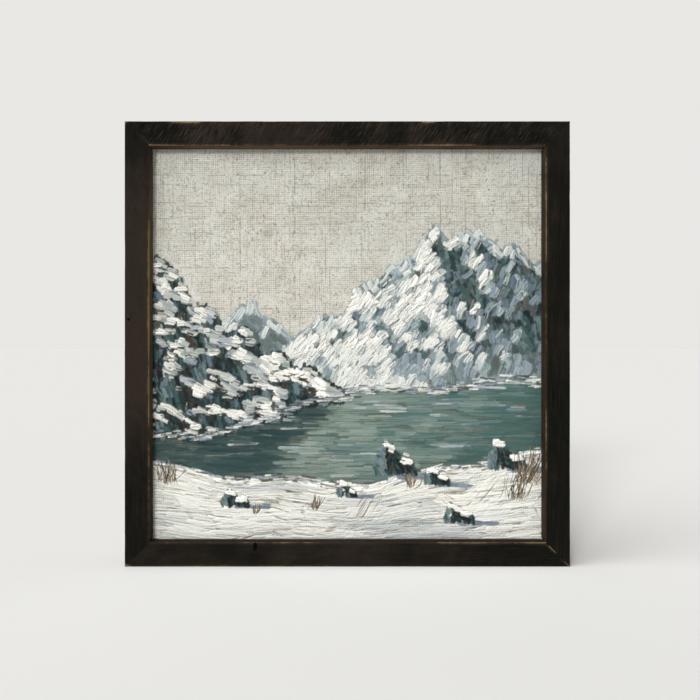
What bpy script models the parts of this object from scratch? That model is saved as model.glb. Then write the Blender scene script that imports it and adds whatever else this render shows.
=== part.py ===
"""A square picture: a stretched canvas in a deep, mitred wooden frame.

Metres, +Z up. The picture faces -Y and stands on the underside of its bottom rail, with the origin at
the middle of its foot. Every piece that runs round the frame is modelled once, as the one at the top,
and is then turned about the frame's centre to its own side.

"Inward" is the distance from the frame's outer edge towards its centre, and "depth" the distance
from its front face towards the wall.
"""

import math

import bmesh
import bpy
from mathutils import Matrix, Vector

MM = 0.001
INCH = 0.0254
GAP = 0.3 * MM  # between pieces that touch

# The frame: four mitred rails, rebated at the back for the canvas.
OUTER = 13.5 * INCH
RAIL_FACE = 0.75 * INCH
RAIL_DEPTH = 1.5 * INCH
LIP_DEPTH = 0.5 * INCH
REBATE = 5.5 * MM
INNER_ARRIS = 1.2 * MM
OUTER_ARRIS = 0.8 * MM
BACK_ARRIS = 0.4 * MM

# The canvas and the four stretcher bars inside it.
CANVAS_PLAY = 0.5 * MM
CANVAS_THICK = 0.6 * MM
CANVAS_MARGIN = 14.0 * MM
BAR_WIDTH = 32.0 * MM
BAR_THICK = 17.5 * MM
BAR_BEAD = 5.0 * MM
BAR_SLOPE = 2.5 * MM

# Steel clips that hold the canvas in its rebate, and their screws.
CLIP_THICK = 1.0 * MM
CLIP_WIDTH = 16.0 * MM
CLIP_START = 1.6 * MM
CLIP_LEG = 15.0 * MM
CLIP_BEND = 0.8 * MM
CLIP_ALONG = 0.25 * OUTER
SCREW_HEAD_RADIUS = 3.2 * MM
SCREW_HEAD_HIGH = 1.6 * MM
SCREW_RADIUS = 1.4 * MM
SCREW_LONG = 10.0 * MM
SCREW_POINT = 3.0 * MM
SCREW_PLAY = 0.4 * MM

# The sawtooth hanger on the top rail, and its two nails.
HANGER_LONG = 45.0 * MM
HANGER_HIGH = 9.5 * MM
HANGER_THICK = 0.8 * MM
HANGER_EAR = 8.0 * MM
HANGER_RISE = 1.4 * MM
HANGER_TEETH = 13
TOOTH_PITCH = 1.9 * MM
TOOTH_DEEP = 1.5 * MM
TOOTH_TIP = 0.2 * MM  # how far the saw's line runs below the edge, which blunts the teeth
NAIL_INSET = 3.8 * MM
NAIL_RADIUS = 0.7 * MM
NAIL_HEAD_RADIUS = 1.7 * MM
NAIL_HEAD_HIGH = 0.6 * MM
NAIL_LONG = 10.0 * MM

# Rubber bumpers behind the two lower corners.
BUMPER_RADIUS = 4.8 * MM
BUMPER_THICK = 3.2 * MM
BUMPER_ROUND = 1.2 * MM
BUMPER_IN = 22.0 * MM

# What follows from those sizes.
BODY_DEPTH = RAIL_DEPTH + GAP + BUMPER_THICK
FRONT_Y = -BODY_DEPTH / 2
HALF = OUTER / 2
WEB = RAIL_FACE - REBATE  # the rail's width behind its rebate
CANVAS_HALF = HALF - WEB - CANVAS_PLAY
CANVAS_FRONT = LIP_DEPTH + GAP
BAR_FRONT = CANVAS_FRONT + CANVAS_THICK + GAP
BAR_BACK = BAR_FRONT + BAR_THICK
CANVAS_BACK = BAR_BACK + GAP + CANVAS_THICK
BAR_HALF = CANVAS_HALF - CANVAS_THICK - GAP
CLIP_LOW = CANVAS_BACK + GAP  # depth of the clip's face on the canvas
CLIP_HIGH = RAIL_DEPTH + GAP  # depth of the clip's face on the rail

SIDES = {"top": 0.0, "right": 0.5 * math.pi, "bottom": math.pi, "left": 1.5 * math.pi}

ARC_STEPS = 3
TURN_STEPS = 20
HOLE_SIDES = 12
MERGE = 1e-5


# ---------------------------------------------------------------- helpers


def clear_scene():
    for obj in list(bpy.data.objects):
        bpy.data.objects.remove(obj, do_unlink=True)


def new_collection(name):
    made = bpy.data.collections.new(name)
    bpy.context.scene.collection.children.link(made)
    return made


def make_material(name, colour, roughness, metallic=0.0):
    material = bpy.data.materials.new(name)
    material.use_nodes = True
    shader = material.node_tree.nodes["Principled BSDF"]
    shader.inputs["Base Color"].default_value = (*colour, 1.0)
    shader.inputs["Roughness"].default_value = roughness
    shader.inputs["Metallic"].default_value = metallic
    return material


def add_object(name, mesh, collection, material=None):
    obj = bpy.data.objects.new(name, mesh)
    collection.objects.link(obj)
    if material:
        mesh.materials.clear()
        mesh.materials.append(material)
    return obj


def rounded(corners):
    """An outline from (x, y, radius) corners: each one is rounded with an arc of its radius."""
    points = []
    count = len(corners)
    for index, (x, y, radius) in enumerate(corners):
        here = Vector((x, y))
        before = (Vector(corners[index - 1][:2]) - here).normalized()
        after = (Vector(corners[(index + 1) % count][:2]) - here).normalized()
        if radius == 0:
            points.append(here)
            continue
        half_angle = before.angle(after) / 2
        start = here + before * radius / math.tan(half_angle)
        centre = here + (before + after).normalized() * radius / math.sin(half_angle)
        sweep = (start - centre).angle_signed(here + after * radius / math.tan(half_angle) - centre)
        for step in range(ARC_STEPS + 1):
            turn = Matrix.Rotation(-sweep * step / ARC_STEPS, 2)
            points.append(centre + turn @ (start - centre))
    return points


def extruded(name, outline, length):
    """A prism mesh: the outline in its local XY plane, and the length along Z, half to each side."""
    curve = bpy.data.curves.new(name, "CURVE")
    curve.dimensions = "2D"
    curve.fill_mode = "BOTH"
    curve.extrude = length / 2
    spline = curve.splines.new("POLY")
    spline.points.add(len(outline) - 1)
    for point, (x, y) in zip(spline.points, outline, strict=True):
        point.co = (x, y, 0, 1)
    spline.use_cyclic_u = True
    holder = bpy.data.objects.new(name, curve)
    bpy.context.scene.collection.objects.link(holder)
    graph = bpy.context.evaluated_depsgraph_get()
    mesh = bpy.data.meshes.new_from_object(holder.evaluated_get(graph))
    bpy.data.objects.remove(holder)
    bpy.data.curves.remove(curve)
    work = bmesh.new()
    work.from_mesh(mesh)
    bmesh.ops.remove_doubles(work, verts=work.verts, dist=MERGE)
    bmesh.ops.recalc_face_normals(work, faces=work.faces)
    work.to_mesh(mesh)
    work.free()
    mesh.name = name
    return mesh


def along_top(mesh):
    """Turns a prism of (inward, depth) outline so that it runs along X as the frame's top side."""
    axes = Matrix(((0, 0, 1), (0, 1, 0), (-1, 0, 0))).to_4x4()
    mesh.transform(Matrix.Translation((0, 0, HALF)) @ axes)
    return mesh


def mitre(mesh, play):
    """Saws both ends of a top piece at 45 degrees, towards the frame's centre, play / 2 short."""
    work = bmesh.new()
    work.from_mesh(mesh)
    for side in (1, -1):
        normal = Vector((side, 0, -1)).normalized()
        sawn = bmesh.ops.bisect_plane(
            work,
            geom=[*work.verts, *work.edges, *work.faces],
            dist=MERGE / 10,
            plane_co=normal * (-play / 2),
            plane_no=normal,
            clear_outer=True,
        )
        edges = [e for e in sawn["geom_cut"] if isinstance(e, bmesh.types.BMEdge)]
        bmesh.ops.edgeloop_fill(work, edges=edges)
    bmesh.ops.recalc_face_normals(work, faces=work.faces)
    work.to_mesh(mesh)
    work.free()
    return mesh


def turned(name, profile, collection, material, steps=TURN_STEPS):
    """A turned piece: (radius, height) points from the top of its axis to the bottom of its axis."""
    mesh = bpy.data.meshes.new(name)
    work = bmesh.new()
    verts = [work.verts.new((radius, 0, height)) for radius, height in profile]
    for upper, lower in zip(verts, verts[1:], strict=False):
        work.edges.new((upper, lower))
    work.to_mesh(mesh)
    work.free()
    obj = add_object(name, mesh, collection, material)
    screw = obj.modifiers.new("Turn", "SCREW")
    screw.axis = "Z"
    screw.steps = steps
    screw.render_steps = steps
    screw.use_merge_vertices = True
    screw.merge_threshold = MERGE
    screw.use_smooth_shade = True
    return obj


def place(obj, side, centre):
    """Turns a piece that was made for the top to its own side of the frame."""
    obj.parent = centre
    obj.rotation_euler = (0, SIDES[side], 0)


def seat(obj, side, centre, inward, along, depth):
    """Puts a turned piece on the back of one side, with its +Z towards the wall."""
    obj.parent = centre
    around = Matrix.Rotation(SIDES[side], 4, "Y")
    spot = Vector((along, depth, HALF - inward))
    facing = Matrix.Rotation(-math.pi / 2, 4, "X")
    obj.matrix_local = around @ Matrix.Translation(spot) @ facing


def cut(obj, cutter):
    cutter.hide_render = True
    cutter.display_type = "WIRE"
    modifier = obj.modifiers.new(cutter.name, "BOOLEAN")
    modifier.operation = "DIFFERENCE"
    modifier.object = cutter


def pilot(name, radius, deep, cutters):
    """A round cutter that reaches from 1 mm above its seat to deep below it."""
    profile = [(0, MM), (radius, MM), (radius, -deep), (0, -deep)]
    return turned(name, profile, cutters, None, HOLE_SIDES)


# ---------------------------------------------------------------- the frame


def rail_outline():
    corners = [
        (0, 0, OUTER_ARRIS),
        (RAIL_FACE, 0, INNER_ARRIS),
        (RAIL_FACE, LIP_DEPTH, 0),
        (WEB, LIP_DEPTH, 0),
        (WEB, RAIL_DEPTH, 0),
        (0, RAIL_DEPTH, BACK_ARRIS),
    ]
    return rounded(corners)


def build_rails(parts, centre, material):
    rails = {}
    for side in SIDES:
        mesh = extruded("rail_" + side, rail_outline(), OUTER + 2 * MM)
        mitre(along_top(mesh), GAP)
        rails[side] = add_object("rail_" + side, mesh, parts, material)
        place(rails[side], side, centre)
    return rails


# ---------------------------------------------------------------- canvas and stretcher


def build_stretcher(parts, centre, material):
    """Four bars whose front slopes away from the canvas behind a narrow bead at the outer edge."""
    inset = HALF - BAR_HALF
    outline = [
        (inset, BAR_FRONT),
        (inset + BAR_BEAD, BAR_FRONT),
        (inset + BAR_WIDTH, BAR_FRONT + BAR_SLOPE),
        (inset + BAR_WIDTH, BAR_BACK),
        (inset, BAR_BACK),
    ]
    for side in SIDES:
        mesh = extruded("stretcher_" + side, outline, OUTER)
        mitre(along_top(mesh), GAP)
        place(add_object("stretcher_" + side, mesh, parts, material), side, centre)


def build_canvas(parts, centre, material):
    """The cloth: flat in front, wrapped over the bars' edges and folded onto their backs."""
    mesh = bpy.data.meshes.new("canvas")
    work = bmesh.new()
    bmesh.ops.create_cube(work, size=1.0)
    wide = 2 * CANVAS_HALF
    bmesh.ops.scale(work, vec=(wide, CANVAS_BACK - CANVAS_FRONT, wide), verts=work.verts)
    middle = (CANVAS_FRONT + CANVAS_BACK) / 2
    bmesh.ops.translate(work, vec=(0, middle, 0), verts=work.verts)
    rear = [face for face in work.faces if face.normal.y > 0.5]
    bmesh.ops.inset_region(work, faces=rear, thickness=CANVAS_MARGIN)
    bmesh.ops.delete(work, geom=rear, context="FACES")
    work.to_mesh(mesh)
    work.free()
    canvas = add_object("canvas", mesh, parts, material)
    shell = canvas.modifiers.new("Cloth", "SOLIDIFY")
    shell.thickness = CANVAS_THICK
    shell.offset = -1.0
    shell.use_even_offset = True
    canvas.parent = centre


# ---------------------------------------------------------------- clips and screws


def clip_outline():
    """A Z in section: its foot on the rail's back, a step down at the rebate, its leg on the canvas."""
    step = WEB + GAP
    leg_end = step + CLIP_LEG
    corners = [
        (CLIP_START, CLIP_HIGH, 0),
        (step, CLIP_HIGH, 0),
        (step, CLIP_LOW, CLIP_BEND),
        (leg_end, CLIP_LOW, 0),
        (leg_end, CLIP_LOW + CLIP_THICK, 0),
        (step + CLIP_THICK, CLIP_LOW + CLIP_THICK, 0),
        (step + CLIP_THICK, CLIP_HIGH + CLIP_THICK, CLIP_BEND),
        (CLIP_START, CLIP_HIGH + CLIP_THICK, 0),
    ]
    return rounded(corners)


def build_clips(parts, cutters, centre, rails, metal):
    """Two clips on each upright rail, each with a screw in a pilot hole."""
    screw_in = WEB / 2
    on_clip = CLIP_HIGH + CLIP_THICK
    # A piece's own +X points up on the left side and down on the right one.
    for side, up in (("left", 1), ("right", -1)):
        for level, sign in (("low", -1), ("high", 1)):
            tag = f"{side}_{level}"
            along = up * sign * CLIP_ALONG
            mesh = along_top(extruded("clip_" + tag, clip_outline(), CLIP_WIDTH))
            mesh.transform(Matrix.Translation((along, 0, 0)))
            clip = add_object("clip_" + tag, mesh, parts, metal)
            place(clip, side, centre)
            hole = pilot("pilot_" + tag, SCREW_RADIUS + SCREW_PLAY, SCREW_LONG + MM, cutters)
            seat(hole, side, centre, screw_in, along, on_clip)
            cut(clip, hole)
            cut(rails[side], hole)
            screw = build_screw("screw_" + tag, parts, metal)
            seat(screw, side, centre, screw_in, along, on_clip + GAP)


def build_screw(name, parts, material):
    """A pan-headed screw, its seat at height 0 and its point below."""
    dome = [
        (SCREW_HEAD_RADIUS * math.sin(turn), SCREW_HEAD_HIGH * (0.35 + 0.65 * math.cos(turn)))
        for turn in (math.radians(angle) for angle in (0, 20, 45, 70, 90))
    ]
    dome[0] = (0, dome[0][1])
    shank = [
        (SCREW_HEAD_RADIUS, 0),
        (SCREW_RADIUS, 0),
        (SCREW_RADIUS, SCREW_POINT - SCREW_LONG),
        (0, -SCREW_LONG),
    ]
    return turned(name, dome + shank, parts, material)


# ---------------------------------------------------------------- hanger and nails


def hanger_outline():
    """The strip from above, as (x, depth): flat ears at both ends and a raised middle."""
    ear = HANGER_LONG / 2 - HANGER_EAR
    slope = ear - 2 * HANGER_RISE
    low = CLIP_HIGH
    high = low + HANGER_RISE
    under = [(HANGER_LONG / 2, low), (ear, low), (slope, high)]
    lower = under + [(-x, depth) for x, depth in reversed(under)]
    return lower + [(x, depth + HANGER_THICK) for x, depth in reversed(lower)]


def comb_outline(middle):
    """A saw's zigzag under the strip's lower edge, as (x, z), closed below it."""
    edge = middle - HANGER_HIGH / 2
    tip = edge - TOOTH_TIP
    start = -TOOTH_PITCH * HANGER_TEETH / 2
    points = []
    for tooth in range(HANGER_TEETH):
        left = start + tooth * TOOTH_PITCH
        points.append((left, tip))
        points.append((left + TOOTH_PITCH / 2, edge + TOOTH_DEEP))
    points.append((-start, tip))
    return points + [(-start, tip - TOOTH_DEEP), (start, tip - TOOTH_DEEP)]


def build_hanger(parts, cutters, centre, rail, metal):
    """A strip with a sawtooth lower edge, nailed to the top rail through both of its ears."""
    middle = HALF - WEB / 2
    mesh = extruded("hanger", hanger_outline(), HANGER_HIGH)
    mesh.transform(Matrix.Translation((0, 0, middle)))
    hanger = add_object("hanger", mesh, parts, metal)
    hanger.parent = centre

    comb = extruded("saw_comb", comb_outline(middle), RAIL_DEPTH)
    comb.transform(Matrix.Translation((0, CLIP_HIGH, 0)) @ Matrix.Rotation(math.pi / 2, 4, "X"))
    comb_cutter = add_object("saw_comb", comb, cutters)
    comb_cutter.parent = centre
    cut(hanger, comb_cutter)

    for side, sign in (("left", -1), ("right", 1)):
        along = sign * (HANGER_LONG / 2 - NAIL_INSET)
        hole = pilot("nail_hole_" + side, NAIL_RADIUS + GAP, NAIL_LONG + GAP, cutters)
        seat(hole, "top", centre, WEB / 2, along, CLIP_HIGH + HANGER_THICK)
        cut(hanger, hole)
        cut(rail, hole)
        profile = [
            (0, NAIL_HEAD_HIGH),
            (NAIL_HEAD_RADIUS * 0.8, NAIL_HEAD_HIGH),
            (NAIL_HEAD_RADIUS, NAIL_HEAD_HIGH * 0.5),
            (NAIL_HEAD_RADIUS, 0),
            (NAIL_RADIUS, 0),
            (NAIL_RADIUS, 2 * NAIL_RADIUS - NAIL_LONG),
            (0, -NAIL_LONG),
        ]
        nail = turned("nail_" + side, profile, parts, metal)
        seat(nail, "top", centre, WEB / 2, along, CLIP_HIGH + HANGER_THICK + GAP)


# ---------------------------------------------------------------- bumpers


def build_bumpers(parts, centre, material):
    """Domed rubber pads that keep the lower corners off the wall."""
    side_high = BUMPER_THICK - BUMPER_ROUND
    edge = [
        (
            BUMPER_RADIUS - BUMPER_ROUND * (1 - math.sin(turn)),
            side_high + BUMPER_ROUND * math.cos(turn),
        )
        for turn in (math.radians(angle) for angle in (0, 22.5, 45, 67.5, 90))
    ]
    profile = [(0, BUMPER_THICK), *edge, (BUMPER_RADIUS, 0), (0, 0)]
    for name, sign in (("bumper_left", 1), ("bumper_right", -1)):
        bumper = turned(name, profile, parts, material)
        seat(bumper, "bottom", centre, WEB / 2, sign * (HALF - BUMPER_IN), CLIP_HIGH)


def main():
    clear_scene()
    parts = new_collection("framed_canvas")
    cutters = new_collection("cutters")
    stained = make_material("stained_wood", (0.022, 0.018, 0.014), 0.55)
    raw = make_material("raw_pine", (0.55, 0.38, 0.22), 0.7)
    cloth = make_material("canvas_cloth", (0.55, 0.53, 0.47), 0.85)
    zinc = make_material("zinc_steel", (0.62, 0.62, 0.60), 0.35, 1.0)
    brass = make_material("brass_plate", (0.66, 0.50, 0.26), 0.35, 1.0)
    rubber = make_material("rubber", (0.05, 0.05, 0.05), 0.7)

    centre = bpy.data.objects.new("frame_centre", None)
    parts.objects.link(centre)
    centre.location = (0, FRONT_Y, HALF)

    rails = build_rails(parts, centre, stained)
    build_stretcher(parts, centre, raw)
    build_canvas(parts, centre, cloth)
    build_clips(parts, cutters, centre, rails, zinc)
    build_hanger(parts, cutters, centre, rails["top"], brass)
    build_bumpers(parts, centre, rubber)


main()
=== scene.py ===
"""The looks of the framed canvas picture: worn dark rails, a stretched canvas with a landscape in thick
paint, raw stretcher bars and the fittings behind, on a pale stage."""

import functools
import math

import bmesh
import bpy
import numpy as np
from mathutils import Matrix, Vector


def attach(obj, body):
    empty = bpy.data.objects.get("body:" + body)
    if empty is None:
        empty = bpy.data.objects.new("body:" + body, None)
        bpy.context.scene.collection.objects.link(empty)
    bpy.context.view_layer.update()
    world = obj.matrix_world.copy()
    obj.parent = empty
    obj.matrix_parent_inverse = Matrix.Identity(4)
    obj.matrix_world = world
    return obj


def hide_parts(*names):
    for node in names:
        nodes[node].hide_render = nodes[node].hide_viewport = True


MM = 0.001
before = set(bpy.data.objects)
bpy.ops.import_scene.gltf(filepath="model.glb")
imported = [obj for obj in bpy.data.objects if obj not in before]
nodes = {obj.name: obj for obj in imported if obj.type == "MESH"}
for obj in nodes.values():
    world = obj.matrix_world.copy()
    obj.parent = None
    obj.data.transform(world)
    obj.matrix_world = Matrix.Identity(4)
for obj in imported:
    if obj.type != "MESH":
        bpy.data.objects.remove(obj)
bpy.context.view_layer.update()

# Sizes of the solids, in mm, as measured on the frame.
OUTER = 342.9
HALF = OUTER / 2
RAIL_FACE = 19.05
RAIL_DEPTH = 38.1
LIP_DEPTH = 12.7
REBATE = 5.5
WEB = RAIL_FACE - REBATE
FRONT = -20.8  # the frame's front plane, along Y
CANVAS_FRONT = 13.0
CANVAS_HALF = HALF - WEB - 0.5
BAR_FRONT = 13.9
BAR_THICK = 17.5
BAR_WIDTH = 32.0
BAR_HALF = CANVAS_HALF - 0.9
CANVAS_BACK = BAR_FRONT + BAR_THICK + 0.9
SIDES = ("top", "right", "bottom", "left")


# ------------------------------------------------------------ colour and noise


def srgb(r, g, b):
    """A display colour from 0 to 255 as linear light."""
    c = np.array((r, g, b), float) / 255
    return np.where(c <= 0.04045, c / 12.92, ((c + 0.055) / 1.055) ** 2.4)


def mix(a, b, t):
    return a * (1 - t) + b * t


def smooth(low, high, x):
    t = np.clip((x - low) / (high - low), 0, 1)
    return t * t * (3 - 2 * t)


@functools.cache
def noise_table(seed):
    return np.random.default_rng(seed).random((256, 256))


def value_noise(x, y, seed):
    """Smooth noise from 0 to 1 on a unit lattice."""
    table = noise_table(seed)
    xi, yi = np.floor(x).astype(int), np.floor(y).astype(int)
    fx, fy = x - xi, y - yi
    fx, fy = fx * fx * (3 - 2 * fx), fy * fy * (3 - 2 * fy)
    low = mix(table[yi & 255, xi & 255], table[yi & 255, (xi + 1) & 255], fx)
    high = mix(table[(yi + 1) & 255, xi & 255], table[(yi + 1) & 255, (xi + 1) & 255], fx)
    return mix(low, high, fy)


def fbm(x, y, seed, octaves=4, ridged=False):
    """Several sizes of value noise, added up; ridged has sharp crests."""
    total, size, weight = 0.0, 1.0, 0.0
    for k in range(octaves):
        n = value_noise(x / size + 17.3 * k, y / size + 5.1 * k, seed + k)
        if ridged:
            n = 1 - np.abs(2 * n - 1)
        total = total + n * size
        weight += size
        size *= 0.5
    return total / weight


def box_blur(a, r):
    for axis in (0, 1):
        pad = [(0, 0)] * a.ndim
        pad[axis] = (r + 1, r)
        sums = np.cumsum(np.pad(a, pad, mode="edge"), axis=axis)
        n = a.shape[axis]
        high = np.take(sums, np.arange(2 * r + 1, 2 * r + 1 + n), axis=axis)
        a = (high - np.take(sums, np.arange(0, n), axis=axis)) / (2 * r + 1)
    return a


# ------------------------------------------------------------ the landscape that is painted

SPAN = 312.0  # side of the painted square
CELLS = 1248  # cells along it
CELL = SPAN / CELLS
HORIZON = 0.40
PEAKS = (  # across, away, height, reach
    (0.58, 3.3, 1.52, 1.30),
    (0.10, 3.0, 0.80, 0.80),
    (1.45, 3.7, 1.28, 1.10),
    (-0.80, 4.2, 0.95, 1.15),
    (-1.75, 4.4, 1.05, 1.2),
)
VIEW_SIZE = 400

PALETTE = {
    "linen": srgb(203, 203, 194),
    "linen_light": srgb(214, 210, 199),
    "linen_dark": srgb(185, 185, 176),
    "ground": srgb(170, 162, 147),
    "thread": srgb(140, 124, 102),
    "cream": srgb(230, 227, 216),
    "white": srgb(243, 242, 237),
    "snow": srgb(218, 217, 209),
    "snow_dim": srgb(190, 192, 188),
    "mist": srgb(163, 174, 173),
    "far": srgb(141, 155, 153),
    "far_deep": srgb(112, 129, 130),
    "blue": srgb(120, 134, 144),
    "violet": srgb(130, 141, 152),
    "violet_deep": srgb(99, 111, 124),
    "teal": srgb(54, 80, 79),
    "teal_mid": srgb(96, 115, 110),
    "teal_deep": srgb(26, 43, 46),
    "ink": srgb(13, 21, 25),
    "water": srgb(74, 104, 96),
    "sage": srgb(138, 152, 140),
    "sage_light": srgb(172, 178, 165),
    "umber": srgb(62, 50, 38),
    "ochre": srgb(150, 128, 98),
    "rock": srgb(78, 78, 74),
    "glaze_and_hollow_shade": srgb(92, 84, 62),
}
PAINT_LIGHTNESS = np.array((0.80, 0.815, 0.84))


def terrain(x, y):
    wx = x + 0.25 * (fbm(x * 2.2, y * 2.2, 31, 3) - 0.5)
    wy = y + 0.25 * (fbm(x * 2.2, y * 2.2, 41, 3) - 0.5)
    z = np.zeros_like(x)
    for across, away, height, reach in PEAKS:
        far = np.hypot(wx - across, (wy - away) * 0.8) / reach
        z = np.maximum(z, height * np.clip(1 - far, 0, None) ** 1.15)
    ridges = fbm(wx * 2.3 + 0.4, wy * 1.5, 51, 4, ridged=True)
    return z * (0.42 + 0.95 * ridges) - 0.05

def view(size):
    """Looks at the terrain from the front: for each point of the picture, how it is lit, its slope, its
    distance and its downhill direction. Sky is where the distance is 0."""
    u = (np.arange(size) + 0.5) / size
    rows = u[:, None]
    lit = np.zeros((size, size)); dist = np.zeros((size, size)); steep = np.zeros((size, size))
    dirx = np.zeros((size, size)); alt = np.zeros((size, size))
    top = np.full(size, HORIZON - 0.02)
    step = 0.012
    e = 0.006
    for depth in np.arange(1.5, 5.2, step):
        x = (u - 0.5) * 2 * depth * 0.36
        y = np.full(size, depth)
        z = terrain(x, y)
        height = HORIZON - 0.015 + z / depth * 0.86
        fresh = (rows >= top) & (rows < height)
        if fresh.any():
            zx = (terrain(x + e, y) - z) / e
            zy = (terrain(x, y + e) - z) / e
            n = np.sqrt(1 + zx**2 + zy**2)
            light = (zx * 0.80 + zy * 0.35 + 0.48) / n  # light from the left, a little from the front, and above
            slope = np.hypot(zx, zy)
            for out, val in ((lit, light), (dist, np.full(size, depth)), (steep, slope), (dirx, -zx / (slope + 1e-6)), (alt, z)):
                out[fresh] = np.broadcast_to(val, (size, size))[fresh]
            top = np.maximum(top, height)
    return lit, dist, steep, dirx, alt


class Paint:
    def __init__(self, seed):
        self.rng = np.random.default_rng(seed)
        r = np.random.default_rng(5)
        self.colour = np.zeros((CELLS, CELLS, 3)) + PALETTE["ground"]
        self.height = np.zeros((CELLS, CELLS))
        self.cloth = weave(r)
        self.height += self.cloth
        self.bristles = r.random((64, 96))
        self.count = 0

    def stroke(self, x, y, angle, length, width, colour, thick, bend=0.0, dry=0.0, blend=0.12, ragged=0.3, streak=0.10):
        """One stroke of a flat brush, in mm. dry is how much of the cloth's hollows it misses."""
        rng = self.rng
        reach = length / 2 + width / 2 + abs(bend) * length
        i0, i1 = int((y - reach) / CELL), int((y + reach) / CELL) + 2
        j0, j1 = int((x - reach) / CELL), int((x + reach) / CELL) + 2
        i0, j0, i1, j1 = max(i0, 0), max(j0, 0), min(i1, CELLS), min(j1, CELLS)
        if i1 - i0 < 2 or j1 - j0 < 2:
            return
        ca, sa = np.cos(angle), np.sin(angle)
        dx = (np.arange(j0, j1) + 0.5)[None, :] * CELL - x
        dy = (np.arange(i0, i1) + 0.5)[:, None] * CELL - y
        along = (dx * ca + dy * sa) * (2 / length)
        across = (-dx * sa + dy * ca - bend * length * (along * along - 0.33)) * (2 / width)
        near = (np.abs(along) < 1.2) & (np.abs(across) < 1.3)
        if not near.any():
            return
        a_i, a_j = np.nonzero(near)
        u, w = along[near], across[near]
        row = self.bristles[int(rng.integers(64))]
        hair = 0.0
        for gap, share in ((1.05, 0.65), (0.45, 0.35)):  # clumps of bristles, and single ones
            pos = (w * 0.5 + 0.5) * max(3.0, width / gap) + rng.integers(24)
            k = np.clip(pos.astype(int), 0, 94)
            f = pos - k
            hair = hair + share * (row[k] * (1 - f) + row[k + 1] * f)
        row2 = self.bristles[int(rng.integers(64))]
        wob = row2[np.clip(((u + 1.2) * 9).astype(int), 0, 95)]
        edge = 1.0 - 0.16 * wob
        start = smooth(-1.06, -0.92, u - 0.10 * hair - 0.20 * w * w)
        stop = smooth(0, 0.10, 1.0 - ragged * hair - 0.22 * w * w - u)
        side = smooth(0, 0.16, edge - np.abs(w))
        mask = start * stop * side
        ii, jj = a_i + i0, a_j + j0
        under = self.height[ii, jj]
        if dry > 0:
            load = 1.0 - dry * (0.55 + 0.45 * (u * 0.5 + 0.5))
            cloth = self.cloth[ii, jj] * (9 if thick < 0.15 else 0.8)
            mask = mask * smooth(0.0, 0.35, load + 0.55 * hair + cloth - 0.9)
        keep = mask > 0.02
        if not keep.any():
            return
        mask, u, w, hair, under = mask[keep], u[keep], w[keep], hair[keep], under[keep]
        ii, jj = ii[keep], jj[keep]
        level = under.mean()
        body = thick * (0.30 + 0.90 * hair) * (1.05 - 0.25 * u)
        ridge = 0.45 * thick * smooth(0.6, 0.92, np.abs(w)) + 0.5 * thick * smooth(0.55, 0.95, u + 0.35 * hair)
        new = 0.32 * under + 0.36 * level + body + ridge
        self.height[ii, jj] = under + (new - under) * mask
        old = self.colour[ii, jj]
        tint = colour * (1 + streak * (2 * hair - 1))[:, None]
        # painted shade: the stroke's colour is darkened in the furrows between the bristles
        bristle_shade = smooth(0.42, 0.14, hair) * min(1.0, thick / 0.3)
        tint = tint * (1 - bristle_shade[:, None] * np.array((0.50, 0.54, 0.66)))
        tint = tint * (1 - blend) + old.mean(0) * blend
        self.colour[ii, jj] = old + (tint - old) * mask[:, None]
        self.count += 1

def weave(rng):
    """The cloth's own relief, in mm: a plain weave of uneven threads."""
    pos = (np.arange(CELLS) + 0.5) * CELL
    X, Y = np.meshgrid(pos, pos)
    slubx = 1.1 * (fbm(X / 12, Y / 90, 71, 3) - 0.5)
    sluby = 1.1 * (fbm(X / 90, Y / 12, 73, 3) - 0.5)
    swell = 0.4 + 1.2 * fbm(X / 16, Y / 16, 79, 3)
    warp = np.sin(2 * np.pi * (X + slubx * 2) / 1.45)
    weft = np.sin(2 * np.pi * (Y + sluby * 2) / 1.55)
    return 0.05 * swell * (warp * 0.5 + weft * 0.5) + 0.02 * (fbm(X / 2.2, Y / 2.2, 75, 3) - 0.5)

def thread_lines(seed, vertical):
    """How strongly an uneven thread shows at each point, from 0 to 1."""
    rng = np.random.default_rng(seed)
    pos = (np.arange(CELLS) + 0.5) * CELL
    out = np.zeros((CELLS, CELLS))
    at = rng.uniform(0, 1.5)
    while at < SPAN:
        wide = rng.uniform(0.20, 0.38)
        strength = rng.uniform(0.1, 1.0) ** 1.3
        wander = 0.5 * (value_noise(pos / 21, np.full(CELLS, at * 7.7), seed + 3) - 0.5)
        on = smooth(0.42, 0.68, value_noise(pos / 7.5 + at * 3.1, np.full(CELLS, at * 3.3), seed + 5))
        j0, j1 = max(0, int((at - 1.2) / CELL)), min(CELLS, int((at + 1.2) / CELL))
        prof = np.exp(-(((pos[j0:j1][None, :] - at - wander[:, None]) / wide) ** 2)) * (on * strength)[:, None]
        if vertical:
            out[:, j0:j1] = np.maximum(out[:, j0:j1], prof)
        else:
            out[j0:j1, :] = np.maximum(out[j0:j1, :], prof.T)
        at += rng.uniform(1.3, 4.2)
    return out

def sample(field, x, y):
    n = field.shape[0]
    return field[min(n - 1, max(0, int(y / SPAN * n))), min(n - 1, max(0, int(x / SPAN * n)))]

def shore_line(x):
    u = x / SPAN
    return SPAN * (0.392 + 0.012 * np.sin(u * 7.3 + 0.5) + 0.006 * np.sin(u * 23))

def bank_line(x):
    """The near snow bank's edge: high at the left, low in the middle, rising a little at the right."""
    u = x / SPAN
    return SPAN * (0.150 + 0.045 * np.exp(-((u + 0.02) / 0.25) ** 2) + 0.075 * smooth(0.50, 1.0, u) + 0.008 * np.sin(u * 19 + 1))

def cliff_foot(x):
    """Where the headland on the left meets the water."""
    return SPAN * (0.268 + 0.10 * smooth(0.10, 0.52, x / SPAN) + 0.004 * np.sin(x / 9))

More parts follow.
